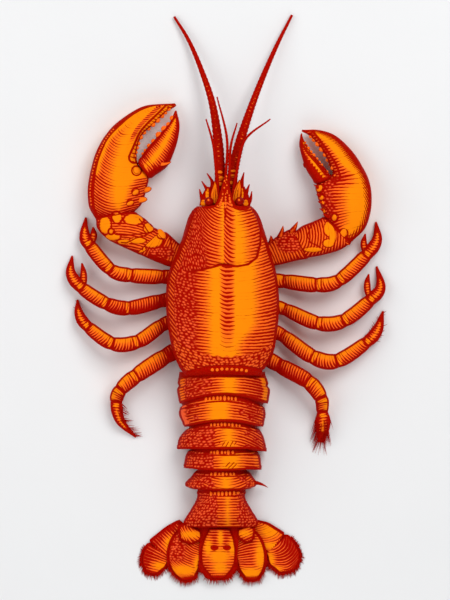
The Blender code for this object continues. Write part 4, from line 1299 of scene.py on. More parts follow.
def make_finger(side, sizes):
    """The moving finger of one claw."""
    skin = claw_skin(side, "finger", ROW_STEP, 108)
    share = skin.along / skin.length
    gapward = skin.across * SIDES[side]
    upper = upper_side(skin)
    off = np.abs(gapward - 0.10)
    # A painted highlight along the finger, deepening as painted shade towards its edges and its root
    tone = 0.82 * ramp(0.06, 0.66, off) + 0.2 * step(0.14, 0.02, share)
    ridge = hump(gapward, 0.30, 0.14) * band(share, 0.1, 0.9, 0.05)
    skin.lift((0.5 * hump(share, 0.05, 0.04) + 0.35 * ridge) * upper)
    from_gap = distance_to(skin.x, skin.y, catmull(GAP_EDGES[side]["finger"], 3)[:, :2])
    rim = 2.2 + 1.6 * ramp(0.65, 0.10, share)
    # Painted shade along the side away from the gap, at the root and tip, at two joint lines, behind the
    # teeth and in the clefts between them
    edge = np.maximum.reduce((
        step(rim + 0.4, rim - 0.4, skin.half * (1 + gapward)), step(2.2, 1.6, skin.along),
        hump(skin.along, 4.4, 0.40), hump(skin.along, 6.6, 0.34), step(0.93, 0.99, share),
        band(from_gap, 1.3, 3.0, 0.3), step(0.9, 0.6, comb(skin.along, 2.6)) * step(1.4, 1.1, from_gap)))
    if side == "right":
        far = from_gap + 1.6 * comb(skin.along + from_gap, 2.2)
        edge = np.maximum(edge, (1 - band(far, 2.8, 5.4, 0.5) * step(0.90, 0.84, share)) * (from_gap > 1.6))
    line = (skin.along - 1.2 * gapward + 60) / (sizes.stroke_pitch * 0.58)
    skin.mark(tone=tone, edge=DARK * edge * upper, line=line)
    piece = Piece().add(skin)
    add_teeth(piece, skin, side, "finger")
    if side == "left":
        root, tip = FINGER_SPINE
        point, normal = skin.perch(*root, lowest=-0.3, highest=0.8)
        spine = horn(point - normal * 1.2, (*tip, point[2] + 1.2), 1.9, (0.6, -0.9, 0.4))
        # Painted shade along the spine's sides
        piece.add(spine.mark(tone=0.4, edge=0.9 * step(0.3, 0.7, np.abs(spine.across))))
    else:
        point, normal = skin.perch(*FINGER_LUMP, lowest=-0.3, highest=0.6)
        piece.add(knob(point, normal, 1.8, 0.8).mark(tone=0.9, edge=0.9))
    piece.finish(f"claw_finger_{side}_shell", "claw", f"claw_finger_{side}")


# Upper sides of the wrists and arms: swellings lit as painted highlights (x, y, half sizes), grainy places,
# and creases darkened as painted shade
ARM_LOOKS = {
    "wrist_left": {
        "pale": ((-76.3, 45.0, 3.4, 5.2), (-68.8, 49.8, 2.8, 3.2), (-58.0, 48.6, 5.8, 3.2),
                 (-71.5, 37.6, 4.6, 2.2), (-64.0, 34.4, 4.2, 1.5), (-55.4, 35.2, 4.8, 1.9),
                 (-48.6, 43.2, 3.0, 3.1)),
        "grainy": (),
        "creases": (((-72.6, 50.4), (-72.3, 45.3), (-72.0, 41.1), (-69.6, 38.9), (-62.7, 38.3),
                     (-49.5, 39.7), (-44.6, 41.1)),
                    ((-66.0, 33.6), (-62.7, 33.4), (-56.4, 36.6), (-49.5, 38.6)),
                    ((-54.3, 49.0), (-51.6, 45.3), (-48.1, 39.7)),
                    ((-72.4, 49.5), (-70.4, 46.4), (-66.8, 45.4), (-65.4, 48.6))),
    },
    "wrist_right": {
        "pale": ((66.6, 42.6, 2.8, 4.4), (69.0, 38.0, 2.2, 4.8), (66.4, 33.4, 3.4, 2.4),
                 (56.6, 29.4, 5.4, 1.4)),
        "grainy": (),
        "creases": (((55.6, 45.6), (52.8, 38.0), (55.0, 33.6), (60.6, 31.2)),),
    },
    "arm_left": {
        "pale": ((-46.2, 35.4, 6.4, 4.6), (-54.0, 29.8, 3.4, 1.9)),
        "grainy": ((-40.0, 27.4, 9.0, 4.6),),
        "creases": (((-52.6, 29.0), (-51.6, 33.4), (-47.4, 39.6)), ((-34.6, 36.6), (-33.6, 30.0))),
    },
    "arm_right": {
        "pale": ((50.0, 39.4, 3.2, 2.2),),
        "grainy": ((41.6, 33.4, 9.0, 6.4),),
        "creases": (((52.4, 37.8), (47.0, 36.4), (44.2, 38.6)),),
    },
}
# Knobs on the wrists and arms, like those of the palms
ARM_KNOBS = {
    "wrist_left": ((-72.4, 40.9, 1.2, 0.8, 1.2, 0),),
    "wrist_right": (),
    "arm_left": ((-40.2, 39.4, 2.4, 1.5, 1.6, -20),),
    "arm_right": ((50.0, 38.6, 1.7, 0.9, 1.3, 60),),
}
# Spines of the right arm and the right wrist: root and tip in plan
ARM_SPINES = (((42.9, 41.4), (46.9, 47.4)), ((35.0, 38.2), (37.5, 44.8)), ((29.0, 34.6), (29.6, 38.6)),
              ((24.4, 31.6), (25.2, 36.2)))
WRIST_SPINE = ((77.6, 33.6), (80.3, 32.2))


def arm_line(name, skin, pitch):
    """Number of the stroke at each point: level on the left wrist, round its knobs on the right one."""
    x, y = skin.x, skin.y
    if name == "wrist_left":
        return (y + 0.14 * x + 0.010 * (x + 62) ** 2 + 60) / pitch
    if name == "wrist_right":
        return np.hypot(x - 43, (y - 38) * 0.8) / pitch
    return (skin.along + 2.0 * skin.across + 20) / pitch


def make_arm_part(side, part, sizes):
    """One wrist or arm, with its swellings, creases, knobs and spines."""
    name = f"{part}_{side}"
    looks = ARM_LOOKS[name]
    skin = claw_skin(side, part, 0.48, 132)
    share = skin.along / skin.length
    upper = upper_side(skin)
    near = swelling(skin, looks["pale"])
    pale = 1 - step(0.85, 1.1, near)
    grain = spots(skin, looks["grainy"])
    dot = dots(skin.x, skin.y, 1.7, 47, 1.3, rim=(0.36, 0.80))
    # Deeper red at the sides as painted shade, and the swellings lit as painted highlights
    tone = (0.50 + 0.3 * step(0.6, 1.0, np.abs(skin.across))) * (0.4 + 0.6 * upper)
    tone = tone * (1 - 0.98 * pale) + 0.35 * grain
    collar = hump(share, 0.06, 0.05) + hump(share, 0.94, 0.05)
    skin.lift((0.40 * collar + 0.45 * pale + 0.25 * dot * grain) * upper)
    # Painted shade along one edge of the left arm, near the wrist
    shade = step(4.6, 3.0, skin.half * (1 + skin.across)) * (name == "arm_left") * step(-50, -47, skin.x)
    # Painted shade along the side edges, in the creases, round the swellings and knobs, and at both ends
    # where the parts meet
    edge = DARK * np.maximum.reduce((
        shaded_rim(skin, 1.2), creases(skin, looks["creases"]), 0.9 * hump(near, 1.16, 0.14),
        knob_shade(skin, ARM_KNOBS[name]), shade * upper,
        step(2.4, 1.7, skin.along), step(2.4, 1.7, skin.length - skin.along)))
    line = arm_line(name, skin, sizes.stroke_pitch * 0.66)
    skin.mark(tone=tone, grain=grain, dot=dot, edge=edge, line=line)
    piece = Piece().add(skin)
    add_knobs(piece, skin, ARM_KNOBS[name])
    if name == "arm_right":
        for root, tip in ARM_SPINES:
            point, normal = skin.perch(*root, lowest=-0.2, highest=0.8)
            piece.add(horn(point - normal * 1.2, (*tip, point[2] + 2.2), 2.3, (0.4, 0.0, 0.6)))
    if name == "wrist_right":
        root, tip = WRIST_SPINE
        point, normal = skin.perch(*root, lowest=-0.2, highest=0.8)
        piece.add(horn(point - normal, (*tip, point[2] + 0.8), 1.2))
    piece.finish(f"{name}_shell", "claw", name)


# Legs

# Height of the middle at the root, the carapace's edge, the joints and the tip of every leg
LEG_HEIGHTS = (5.5, 6.0, 15.0, 14.0, 7.6, 5.0, 1.2)
# The same places of each leg in plan: x, y and half width
LEGS = {
    "left_1": ((-19.0, 11.4, 4.2), (-37.0, 11.9, 4.8), (-59.4, 12.9, 4.9), (-72.6, 16.4, 4.5),
               (-86.4, 32.0, 4.4), (-89.8, 39.0, 3.4), (-89.2, 50.2, 0.6)),
    "left_2": ((-19.0, -1.8, 4.3), (-38.0, -2.9, 4.7), (-60.5, -8.0, 4.9), (-75.0, -5.4, 4.6),
               (-91.4, 4.8, 4.3), (-98.6, 14.0, 3.4), (-98.0, 25.6, 0.6)),
    "left_3": ((-19.0, -14.6, 4.2), (-37.6, -17.8, 4.6), (-55.0, -29.2, 4.8), (-71.4, -30.9, 4.7),
               (-87.2, -20.4, 4.1), (-93.2, -12.4, 3.2), (-94.6, -2.6, 0.6)),
    "left_4": ((-19.0, -30.6, 4.8), (-35.0, -37.4, 5.5), (-56.2, -51.2, 5.2), (-66.2, -60.0, 4.6),
               (-69.4, -68.0, 4.3), (-67.0, -80.4, 3.0), (-57.0, -91.2, 0.6)),
    "right_1": ((19.0, 9.4, 4.2), (35.6, 9.4, 4.8), (58.6, 6.8, 5.0), (73.0, 9.6, 4.6),
                (90.6, 25.6, 4.4), (97.8, 35.4, 3.4), (97.4, 47.4, 0.6)),
    "right_2": ((19.0, -5.8, 4.0), (36.2, -7.9, 4.4), (59.0, -17.5, 4.9), (76.0, -16.2, 4.8),
                (93.0, -3.4, 4.4), (100.2, 5.2, 3.3), (97.8, 18.8, 0.6)),
    "right_3": ((19.0, -19.6, 4.0), (35.0, -24.3, 4.6), (56.0, -39.0, 5.1), (71.8, -41.9, 5.0),
                (90.6, -30.4, 4.3), (98.2, -22.2, 3.6), (102.0, -10.0, 0.6)),
    "right_4": ((19.0, -34.4, 4.2), (32.4, -43.3, 5.1), (53.2, -54.8, 5.2), (61.6, -65.4, 4.6),
                (62.8, -74.4, 4.0), (63.0, -82.8, 5.0), (62.0, -94.6, 2.0)),
}
# The short pincer fingers, likewise
NIPS = {
    "left_1": ((-85.8, 32.4, 2.0), (-84.6, 35.8, 2.3), (-84.0, 39.6, 2.2), (-84.4, 44.0, 0.5)),
    "left_2": ((-91.8, 5.6, 1.9), (-90.6, 8.8, 2.3), (-90.6, 14.6, 2.1), (-91.6, 20.8, 0.5)),
    "right_1": ((91.0, 26.4, 2.0), (90.0, 29.6, 2.2), (89.4, 34.0, 2.1), (90.4, 39.6, 0.5)),
    "right_2": ((93.2, -0.6, 1.9), (92.0, 2.6, 2.2), (91.6, 8.0, 2.1), (92.6, 13.8, 0.5)),
}
# Places along a leg where one joint ends and the next begins
JOINTS = (0.0, 1.12, 2.0, 3.0, 4.0, 6.0)
# The joints of these legs that begin before this place are darkened with painted shade
SHADED = {"left_2": 2.5, "left_4": 0.5, "right_3": 0.5, "right_4": 1.5}
# How many bristles the last legs have, and how long they are
LEG_HAIR = {"left_3": (14, 1.6), "left_4": (120, 5.4), "right_3": (26, 2.4), "right_4": (90, 9.0)}


def leg_skins(name, sizes):
    """The joints of one leg, each sunk a little into the cuff of the one before."""
    pieces = 16
    rows = catmull([(x, y, z, half) for (x, y, half), z in zip(LEGS[name], LEG_HEIGHTS)], pieces)
    places = np.arange(len(rows)) / pieces
    side = SIDES[name.split("_")[0]]
    for start, end in zip(JOINTS, JOINTS[1:]):
        sunk = start - (0.10 if start else 0.0)
        last = end == JOINTS[-1]
        cuffed = 1.2 < start < 4.5
        count = int(25 * (end - sunk)) + 8
        stretch = np.linspace(sunk, end, count)
        x, y, z, half = (np.interp(stretch, places, rows[:, k]) for k in range(4))
        t = (stretch - start) / (end - start)
        swell = 0.89 + 0.10 * step(-0.02, 0.25, t) + 0.03 * np.sin(math.pi * np.clip(t, 0, 1))
        if not last:
            swell -= 0.06 * step(0.84, 1.0, t)
        half = half * swell
        height = np.minimum(0.98 * half, z - FLOOR_GAP)
        skin = loft(limb_stations(np.stack((x, y, z, half, height), axis=1)), outline(40, upper=0.66))
        t = t[:, None] + np.zeros(skin.points.shape[:2])  # 0 to 1 along the joint
        upper = step(-0.3, 0.0, skin.up)
        rearward = skin.across * side  # 1 on the side that faces the tail
        seen = skin.along - (1.4 if start else 0.0)  # from where it comes out of the cuff
        behind = skin.length - skin.along
        # The band just out of each cuff is lit as a painted highlight
        knuckle = band(seen, 1.3, 3.2, 0.25) * cuffed
        # A painted highlight on the side towards the head, deepening as painted shade towards the tail side
        tone = 0.72 * ramp(-0.66, 0.55, rearward) + 0.16 * ramp(-0.35, -0.85, rearward)
        tone += 0.14 * step(0.22, 0.05, t) + 0.10 * step(0.86, 0.98, t)
        # Painted shadow of the carapace on the roots of the left legs, painted light on the roots of the
        # right legs, and painted shade on the joints in SHADED
        tone += (0.35 if side < 0 else -0.15) * (start == 0.0) + 0.30 * (start < SHADED.get(name, 0.0))
        # The last joint is lighter down its middle, with painted shade to its sides
        if last:
            tone = 0.16 + 0.80 * ramp(0.05, 0.62, np.abs(rearward))
        tone *= 1 - 0.75 * knuckle
        # Painted shade along the side edges, wider on the tail side, where each joint comes out of its cuff
        # and at its end
        rim = np.where(rearward > 0, 1.6, 1.2) + (0.2 + 0.6 * comb(skin.along, 1.8)) * last
        edge = np.maximum.reduce((
            shaded_rim(skin, rim), step(1.2, 0.6, seen), hump(seen, 3.9, 0.42) * cuffed,
            step(1.5, 0.9, behind) * (not last), step(0.62, 0.80, t) * last))
        line = (skin.along - 1.2 * rearward - 0.8 * rearward**2 + 25) / (sizes.stroke_pitch * 0.68)
        yield skin.mark(tone=tone, edge=DARK * edge * upper, line=line)


def make_leg(name, sizes):
    """One walking leg, with bristles on the last two of each side."""
    skins = list(leg_skins(name, sizes))
    piece = Piece().add(*skins)
    if name in LEG_HAIR:
        add_leg_hair(piece, skins[-1], name)
    piece.finish(f"walking_leg_{name}", "leg", f"leg_{name}")


def add_leg_hair(piece, skin, name):
    """Bristles at the end of a leg: a brush on the last right one, the inner side only on the left."""
    draw = random.Random(name)
    rows = len(skin.points)
    brush, inner_only = name == "right_4", name == "left_4"
    count, reach = LEG_HAIR[name]
    for _ in range(count):
        row = int(rows * draw.uniform(0.35 if brush else 0.1, 0.97))
        column = draw.randrange(skin.points.shape[1])
        if inner_only and skin.across[row, column] > 0.1:
            continue
        point = skin.points[row, column]
        heading = skin.points[min(row + 3, rows - 1)].mean(axis=0) - skin.points[row].mean(axis=0)
        heading /= max(np.linalg.norm(heading), 1e-6)
        away = point - skin.points[row].mean(axis=0)
        away /= max(np.linalg.norm(away), 1e-6)
        direction = heading * (1.0 if brush else 0.75) + away * (0.30 if brush else 0.9)
        direction[2] *= 0.4
        direction /= np.linalg.norm(direction)
        piece.add(hair(point, direction, reach * draw.uniform(0.6, 1.1), 0.24, draw.uniform(0.1, 0.8)))


def make_nip(name):
    """The short pincer finger of one front leg."""
    path = catmull([(x, y, NIP_HEIGHT, half, 0.9 * half) for x, y, half in NIPS[name]])
    skin = limb(path, 0.3, outline(36))
    share = skin.along / skin.length
    # Deeper red towards the sides as painted shade, painted shade along the edges, and dark towards the tip
    edge = np.maximum(shaded_rim(skin, 1.15 + 0.3 * comb(skin.along, 1.5)), step(0.55, 0.75, share))
    skin.mark(tone=0.30 + 0.4 * np.abs(skin.across), edge=DARK * edge, line=(skin.along + 5) / 1.7)
    Piece().add(skin).finish(f"pincer_tip_{name}", "leg", f"nip_{name}")


# Head

# Along each antenna: x, y, z, radius
ANTENNAE = {
    "left": ((-3.8, 56.4, 26.4, 3.4), (-3.2, 68.0, 27.0, 3.6), (-2.9, 79.0, 26.4, 3.2),
             (-4.1, 98.0, 22.0, 2.9), (-7.9, 123.0, 14.6, 2.2), (-15.0, 145.0, 8.8, 1.6),
             (-23.0, 163.8, 4.6, 1.2), (-32.4, 179.4, 1.8, 0.75)),
    "right": ((4.4, 56.4, 26.4, 3.4), (4.6, 68.0, 27.0, 3.6), (5.5, 79.0, 26.4, 3.2),
              (9.8, 98.0, 22.0, 2.9), (18.0, 123.0, 14.6, 2.2), (25.8, 143.0, 9.0, 1.7),
              (34.0, 161.6, 4.8, 1.25), (43.4, 180.4, 1.8, 0.8)),
}
# Painted highlights on the stout bases of the antennae: x, y and the half sizes along both
BASE_HIGHLIGHTS = {
    "left": ((-2.8, 78.4, 1.7, 1.2), (-2.0, 74.6, 2.0, 1.5), (-3.0, 71.0, 1.8, 1.3)),
    "right": ((5.6, 79.0, 2.2, 1.1), (5.2, 76.0, 2.0, 1.1), (5.0, 71.8, 2.2, 2.0)),
}
# Along each thin feeler, likewise
FEELERS = {
    "outer_left": ((-2.7, 58.4, 32.5, 0.9), (-5.0, 76.0, 33.8, 0.9), (-7.2, 96.0, 31.0, 0.8),
                   (-11.8, 112.4, 27.0, 0.4)),
    "inner_left": ((-0.7, 58.4, 32.4, 0.9), (0.7, 76.0, 33.0, 0.9), (1.5, 100.0, 31.0, 0.8),
                   (-4.8, 126.6, 26.0, 0.4)),
    "inner_right": ((1.5, 58.4, 32.4, 0.9), (2.9, 76.0, 33.0, 0.9), (4.0, 95.0, 31.6, 0.8),
                    (8.0, 109.8, 29.0, 0.4)),
    "outer_right": ((3.7, 58.4, 32.4, 0.9), (7.2, 76.0, 33.0, 0.9), (12.8, 98.6, 31.0, 0.8),
                    (29.2, 112.4, 27.0, 0.4)),
}
EYES = {"left": -9.9, "right": 9.5}
# Along each antennal scale and each cheek: x, y, z, half width, half height
SCALES = {
    "left": ((-6.3, 58.6, 31.4, 2.4, 0.8), (-6.2, 64.0, 32.0, 3.0, 0.8), (-6.0, 68.6, 33.0, 1.9, 0.6),
             (-6.2, 72.6, 33.8, 0.5, 0.4)),
    "right": ((7.4, 58.6, 31.4, 2.4, 0.8), (7.8, 64.0, 32.0, 3.2, 0.8), (8.8, 69.0, 33.0, 2.1, 0.6),
              (9.8, 73.4, 33.8, 0.5, 0.4)),
}
CHEEKS = {
    "left": ((-9.6, 57.0, 25.6, 6.6, 4.4), (-9.4, 62.0, 25.8, 5.6, 4.2), (-8.6, 69.0, 26.4, 3.0, 2.8)),
    "right": ((10.2, 57.2, 25.7, 6.4, 4.4), (10.4, 62.2, 25.9, 5.5, 4.2), (9.8, 69.2, 26.5, 3.0, 2.8)),
}
# Painted highlights on each cheek: how far out, y, and the half sizes along both
CHEEK_GLINTS = ((13.6, 58.6, 1.7, 2.6), (11.0, 64.6, 1.2, 4.2))
# Along each spine of a cheek: x, y, z, half width
CHEEK_SPINES = {
    "left": (
        ((-12.2, 57.6, 26.4, 2.6), (-14.4, 62.2, 27.0, 1.4), (-16.0, 67.8, 28.0, 0.3)),
        ((-10.2, 61.4, 27.0, 2.3), (-11.0, 67.0, 27.8, 1.3), (-14.6, 72.8, 29.0, 0.3)),
        ((-8.0, 65.4, 27.2, 2.2), (-7.8, 72.0, 28.2, 1.2), (-11.2, 77.8, 29.6, 0.3))),
    "right": (
        ((13.6, 57.4, 26.4, 2.6), (16.4, 61.2, 27.0, 1.2), (17.4, 66.4, 28.0, 0.3)),
        ((12.0, 60.6, 27.0, 2.4), (13.8, 65.4, 27.8, 1.4), (15.9, 70.8, 29.0, 0.3)),
        ((10.4, 65.0, 27.2, 2.2), (11.0, 72.2, 28.2, 1.3), (12.4, 78.4, 29.6, 0.3))),
}


def make_antenna(side, sizes):
    """One antenna: a stout base, and rings with pale dashes on their upper sides, painted highlights that
    end where it grows thin.
    """
    path = round_path(ANTENNAE[side])
    skin = limb(path, 0.38, outline(28, upper=0.64))
    pitch = sizes.ring_pitch * (1.10 if side == "left" else 0.90)
    phase = skin.along / pitch
    ringed = step(16.0, 22.0, skin.along)
    saw = np.mod(phase, 1.0)
    base = hump(skin.along, 6.0, 1.2) + hump(skin.along, 14.0, 1.2)
    radius = np.interp(skin.along[:, 0], lengths(path[:, :2]), path[:, 3])[:, None]
    skin.lift(radius * (0.10 * ringed * (step(0.0, 0.75, saw) - step(0.8, 1.0, saw)) + 0.10 * base))
    slant = SIDES[side] * 0.5 * (saw - 0.5)
    dash = 1 - step(0.75, 1.15, np.hypot((saw - 0.47) / 0.36, (skin.across + slant - 0.05) / 0.36))
    dash *= step(92.0, 84.0, skin.along) * step(-0.1, 0.3, skin.up)
    patch = spots(skin, BASE_HIGHLIGHTS[side])
    dash = np.maximum(dash, patch)
    skin.mark(tone=0.85 - 0.35 * dash - 0.3 * patch, edge=DARK * (1 - dash), line=phase)
    Piece().add(skin).finish(f"antenna_{side}_whip", "feeler", f"antenna_{side}")


def make_feeler(name, sizes):
    """One thin ringed feeler."""
    skin = limb(round_path(FEELERS[name]), 0.3, outline(12))
    saw = np.mod(skin.along / (sizes.ring_pitch * 0.8), 1.0)
    skin.lift(0.10 * (step(0.0, 0.7, saw) - step(0.8, 1.0, saw)))
    skin.mark(tone=0.8, edge=0.86 + 0.1 * step(0.7, 0.9, saw), line=skin.along)
    Piece().add(skin).finish(f"antennule_{name}", "feeler", f"feeler_{name}")


def make_eye(side):
    """One eyeball with its painted glint, and the stalk under it."""
    x = EYES[side]
    ball = knob((x, 59.6, EYE_LEVEL), (0.05 * SIDES[side], 0.35, 1.0), 2.9, 2.8, 40, 30)
    # Painted glint: a pale spot where a reflection would be
    glint = 1 - step(0.7, 1.1, np.hypot((ball.x - x + 0.3) / 0.62, (ball.y - 60.6) / 0.8))
    Piece().add(ball.mark(dot=glint)).finish(f"eyeball_{side}", "eye", f"eye_{side}")
    stalk = rod(((x * 0.92, 56.5, EYE_LEVEL - 1.4), (x, 58.8, EYE_LEVEL - 0.6), (x, 60.2, EYE_LEVEL - 0.2)),
                (2.0, 2.2, 2.3), 16)
    Piece().add(stalk.mark(tone=0.8, edge=0.8)).finish(f"eye_stalk_{side}", "shell")


def make_scale(side):
    """One antennal scale, with a crack along it."""
    skin = limb(catmull(SCALES[side]), 0.25, outline(40))
    crack = hump(skin.across + 0.02 * skin.along, 0.2, 0.09) * band(skin.along, 3.0, 9.0, 1.0)
    edge = DARK * np.maximum(shaded_rim(skin, 0.7), crack)
    # Lighter down the middle, with painted shade towards and along its edges
    skin.mark(tone=0.10 + 0.3 * np.abs(skin.across), edge=edge, line=(skin.across * 4 + 20) / 2.2)
    Piece().add(skin).finish(f"antennal_scale_{side}", "shell", f"scale_{side}")


def make_cheek(side):
    """One cheek with its three spines."""
    skin = limb(catmull(CHEEKS[side]), 0.25, outline(96))
    glint = spots(skin, [(SIDES[side] * out, *place) for out, *place in CHEEK_GLINTS])
    skin.mark(tone=0.9 - 0.84 * glint, edge=DARK * (1 - glint), line=(skin.along + 5) / 2.2)
    piece = Piece().add(skin)
    for rows in CHEEK_SPINES[side]:
        path = catmull([(x, y, z, half, half * 0.8) for x, y, z, half in rows])
        spine = loft(limb_stations(path), outline(16))
        share = spine.along / spine.length
        middle = 1 - step(0.10, 0.35, np.abs(spine.across))
        # Painted shade along the sides of each spine, lighter down the middle of its root
        piece.add(spine.mark(tone=0.5, edge=0.96 - 0.5 * middle * (1 - step(0.3, 0.6, share))))
    piece.finish(f"antenna_base_{side}", "shell", f"cheek_{side}")


# Underside

# Along the breast plate: y, half width and height of its upper face
BREAST = (
    (-49.6, 12.0, RIM), (-45.0, BODY_HALF, RIM), (-10.0, BODY_HALF, RIM),
    (8.0, BODY_HALF, RIM), (24.0, 18.0, RIM + 1.4), (40.0, 16.5, FRONT_RIM),
    (52.0, 11.0, FRONT_RIM + 1.4),
)
RIB_PITCH = 13.6


def make_underbody():
    """The breast plate, with ribs between the legs."""
    stations = [(-half, y, half, y, top / 2, top / 2, top / 2, 0.0) for y, half, top in BREAST]
    skin = loft(even(np.array(stations), 1.0), outline(72, crown=6.0, keel=3.4, upper=0.45))
    below = step(0.1, -0.3, skin.up)
    from_rib = np.mod(skin.y + 40.0, RIB_PITCH) - RIB_PITCH / 2
    ribs = hump(from_rib, 0, 1.0) * step(0.12, 0.3, np.abs(skin.across))
    trough = hump(skin.across, 0, 0.07)
    skin.lift(-(0.5 * ribs + 0.5 * trough) * below)
    # The sunk ribs and middle trough are darkened as painted shade
    skin.mark(tone=0.22, edge=0.5 * ribs + 0.4 * trough, line=skin.y / 3 + 40)
    Piece().add(skin).finish("breast_plate", "underside", "underbody")


# Stage, in metres

WORKTOP_HALF = 1.6
# Name, place, width and power in watts of each soft light
LIGHTS = (
    ("key_light", (0.55, 0.75, 1.25), 0.9, 14.0),
    ("fill_light", (-1.0, 0.2, 0.95), 1.2, 8.0),
    ("rear_light", (0.2, -1.2, 0.9), 1.2, 6.0),
)
DAYLIGHT = (0.95, 0.97, 1.0, 1.0)
DAYLIGHT_STRENGTH = 0.34
# The camera's lens and sensor in millimetres, the middle of its view, and the length that it shows at
# a level a little above the worktop
LENS = 250.0
SENSOR = 36.0
VIEW_MIDDLE = (0.0003, -0.0029)
VIEW_LENGTH = 0.384
VIEW_LEVEL = 0.015


def make_stage():
    """The worktop, the lights and the camera."""
    half = WORKTOP_HALF
    data = bpy.data.meshes.new("worktop")
    data.from_pydata(((-half, -half, 0), (half, -half, 0), (half, half, 0), (-half, half, 0)), [],
                     ((0, 1, 2, 3),))
    data.materials.append(floor_material("pale_worktop", bpy.context.scene.lobster_colours))
    floor = bpy.data.objects.new("worktop", data)
    bpy.context.collection.objects.link(floor)
    for light in LIGHTS:
        add_softbox(*light)
    add_daylight()
    add_camera()


def add_softbox(name, place, width, power):
    """A square soft light that faces the middle of the worktop."""
    lamp = bpy.data.lights.new(name, "AREA")
    lamp.shape = "SQUARE"
    lamp.size = width
    lamp.energy = power
    softbox = bpy.data.objects.new(name, lamp)
    softbox.location = place
    softbox.rotation_euler = (-Vector(place)).to_track_quat("-Z", "Y").to_euler()
    bpy.context.collection.objects.link(softbox)


def add_daylight():
    """Even light from all round, shown without a film look."""
    world = bpy.data.worlds.new("studio")
    world.use_nodes = True
    background = world.node_tree.nodes["Background"]
    background.inputs["Color"].default_value = DAYLIGHT
    background.inputs["Strength"].default_value = DAYLIGHT_STRENGTH
    bpy.context.scene.world = world
    bpy.context.scene.view_settings.view_transform = "Standard"


def add_camera():
    """Straight down, as the drawing sees the animal, with its whole length in the upright frame."""
    lens = bpy.data.cameras.new("camera")
    lens.lens = LENS
    lens.sensor_width = SENSOR
    lens.clip_end = 20.0
    camera = bpy.data.objects.new("camera", lens)
    camera.location = (*VIEW_MIDDLE, VIEW_LENGTH * LENS / SENSOR + VIEW_LEVEL)
    bpy.context.collection.objects.link(camera)
    bpy.context.scene.camera = camera


# Add-on


def length_property(name, description, default):
    """A length that a user can change, in metres."""
    return bpy.props.FloatProperty(name=name, description=description, default=default, min=0.0,
                                   unit="LENGTH", subtype="DISTANCE")


def colour_property(name, description, default):
    """A colour that a user can change."""
    return bpy.props.FloatVectorProperty(name=name, description=description, default=default, size=3,
                                         min=0.0, max=1.0, subtype="COLOR")


class LobsterSizes(bpy.types.PropertyGroup):
    """Sizes of the shell's relief and markings"""

    stroke_pitch: length_property("Stroke pitch", "Distance between the red strokes on the back", 0.0027)
    grain_pitch: length_property("Grain pitch", "Distance between the grains on the flanks", 0.0018)
    groove_depth: length_property("Groove depth", "Depth of the groove across the carapace", 0.0011)
    ring_pitch: length_property("Ring pitch", "Distance between the rings of the antennae", 0.0029)
    hair_length: length_property("Bristle length", "Length of the tail fan's bristles", 0.0038)
    hair_spacing: length_property("Bristle spacing", "Distance between the tail fan's bristles", 0.00036)


class LobsterColours(bpy.types.PropertyGroup):
    """Colours of the cooked shell"""

    # Lightest orange, where the tone is lowest: the painted highlights, and the pale lumps
    bright: colour_property("Crown", "Lightest orange of the shell", (1.0, 0.250, 0.003))
    warm: colour_property("Body", "Orange of most of the shell", (1.0, 0.142, 0.010))
    # Orange red between strokes where the tone is deepest, in painted shade
    deep: colour_property("Flank", "Orange red between the strokes on the dark flanks", (1.0, 0.112, 0.028))
    # Deep red of the strokes, of the painted shade along edges, in grooves and between parts, and of
    # bristles and feelers
    dark: colour_property("Strokes", "Deep red of strokes, grooves and edges", (0.38, 0.0012, 0.0))
    pale: colour_property("Underside", "Pale orange of the breast plate", (0.95, 0.42, 0.20))
    eye: colour_property("Eyes", "Wet dark red of the eyes", (0.20, 0.002, 0.001))
    floor: colour_property("Worktop", "Pale surface under the lobster", (0.82, 0.82, 0.82))


def sizes_of(context):
    """The sizes that a user set, in millimetres."""
    settings = context.scene.lobster_sizes
    return SimpleNamespace(**{name: getattr(settings, name) / MM for name in settings.__annotations__})


class LOBSTER_OT_stage(bpy.types.Operator):
    """Set up the worktop, the soft lights and the camera"""

    bl_idname = "lobster.stage"
    bl_label = "Stage"

    def execute(self, context):
        make_stage()
        return {"FINISHED"}


class LOBSTER_OT_carapace(bpy.types.Operator):
    """Make the carapace with its beak"""

    bl_idname = "lobster.carapace"
    bl_label = "Carapace"

    def execute(self, context):
        make_carapace(sizes_of(context))
        return {"FINISHED"}


class LOBSTER_OT_tail(bpy.types.Operator):
    """Make the six rings of the tail"""

    bl_idname = "lobster.tail"
    bl_label = "Tail rings"

    def execute(self, context):
        sizes = sizes_of(context)
        for number in range(1, len(TAIL_RINGS) + 1):
            make_tail_ring(number, sizes)
        return {"FINISHED"}


class LOBSTER_OT_fan(bpy.types.Operator):
    """Make the blades of the tail fan with their bristles"""

    bl_idname = "lobster.fan"
    bl_label = "Tail fan"

    def execute(self, context):
        sizes = sizes_of(context)
        for name in BLADES:
            make_blade(name, sizes)
        return {"FINISHED"}


class LOBSTER_OT_claws(bpy.types.Operator):
    """Make the claws with their fingers, wrists and arms"""

    bl_idname = "lobster.claws"
    bl_label = "Claws"

    def execute(self, context):
        sizes = sizes_of(context)
        for side in SIDES:
            make_palm(side, sizes)
            make_finger(side, sizes)
            make_arm_part(side, "wrist", sizes)
            make_arm_part(side, "arm", sizes)
        return {"FINISHED"}


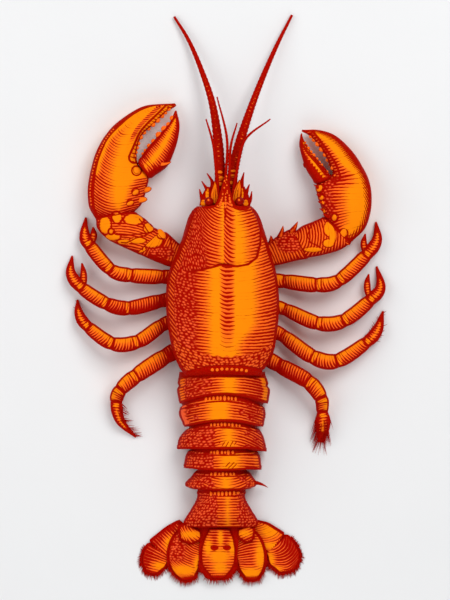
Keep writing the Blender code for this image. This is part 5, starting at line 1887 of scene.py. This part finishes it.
class LOBSTER_OT_legs(bpy.types.Operator):
    """Make the eight walking legs"""

    bl_idname = "lobster.legs"
    bl_label = "Legs"

    def execute(self, context):
        sizes = sizes_of(context)
        for name in LEGS:
            make_leg(name, sizes)
        for name in NIPS:
            make_nip(name)
        return {"FINISHED"}


class LOBSTER_OT_head(bpy.types.Operator):
    """Make the antennae, antennules, eyes, scales and cheeks"""

    bl_idname = "lobster.head"
    bl_label = "Head"

    def execute(self, context):
        sizes = sizes_of(context)
        for side in SIDES:
            make_antenna(side, sizes)
            make_eye(side)
            make_scale(side)
            make_cheek(side)
        for name in FEELERS:
            make_feeler(name, sizes)
        return {"FINISHED"}


class LOBSTER_OT_underside(bpy.types.Operator):
    """Make the breast plate"""

    bl_idname = "lobster.underside"
    bl_label = "Underside"

    def execute(self, context):
        make_underbody()
        return {"FINISHED"}


STEPS = ("stage", "carapace", "tail", "fan", "claws", "legs", "head", "underside")


class LOBSTER_PT_panel(bpy.types.Panel):
    """Sizes, colours and steps of the lobster"""

    bl_label = "Lobster"
    bl_space_type = "VIEW_3D"
    bl_region_type = "UI"
    bl_category = "Lobster"

    def draw(self, context):
        for settings in (context.scene.lobster_sizes, context.scene.lobster_colours):
            for name in settings.__annotations__:
                self.layout.prop(settings, name)
        for name in STEPS:
            self.layout.operator("lobster." + name)


CLASSES = (
    LobsterSizes, LobsterColours, LOBSTER_OT_stage, LOBSTER_OT_carapace, LOBSTER_OT_tail, LOBSTER_OT_fan,
    LOBSTER_OT_claws, LOBSTER_OT_legs, LOBSTER_OT_head, LOBSTER_OT_underside, LOBSTER_PT_panel,
)


def register():
    for kind in CLASSES:
        bpy.utils.register_class(kind)
    bpy.types.Scene.lobster_sizes = bpy.props.PointerProperty(type=LobsterSizes)
    bpy.types.Scene.lobster_colours = bpy.props.PointerProperty(type=LobsterColours)


def unregister():
    del bpy.types.Scene.lobster_sizes
    del bpy.types.Scene.lobster_colours
    for kind in reversed(CLASSES):
        bpy.utils.unregister_class(kind)


def main():
    """Builds the whole lobster."""
    register()
    for name in STEPS:
        getattr(bpy.ops.lobster, name)()


if __name__ == "__main__":
    main()
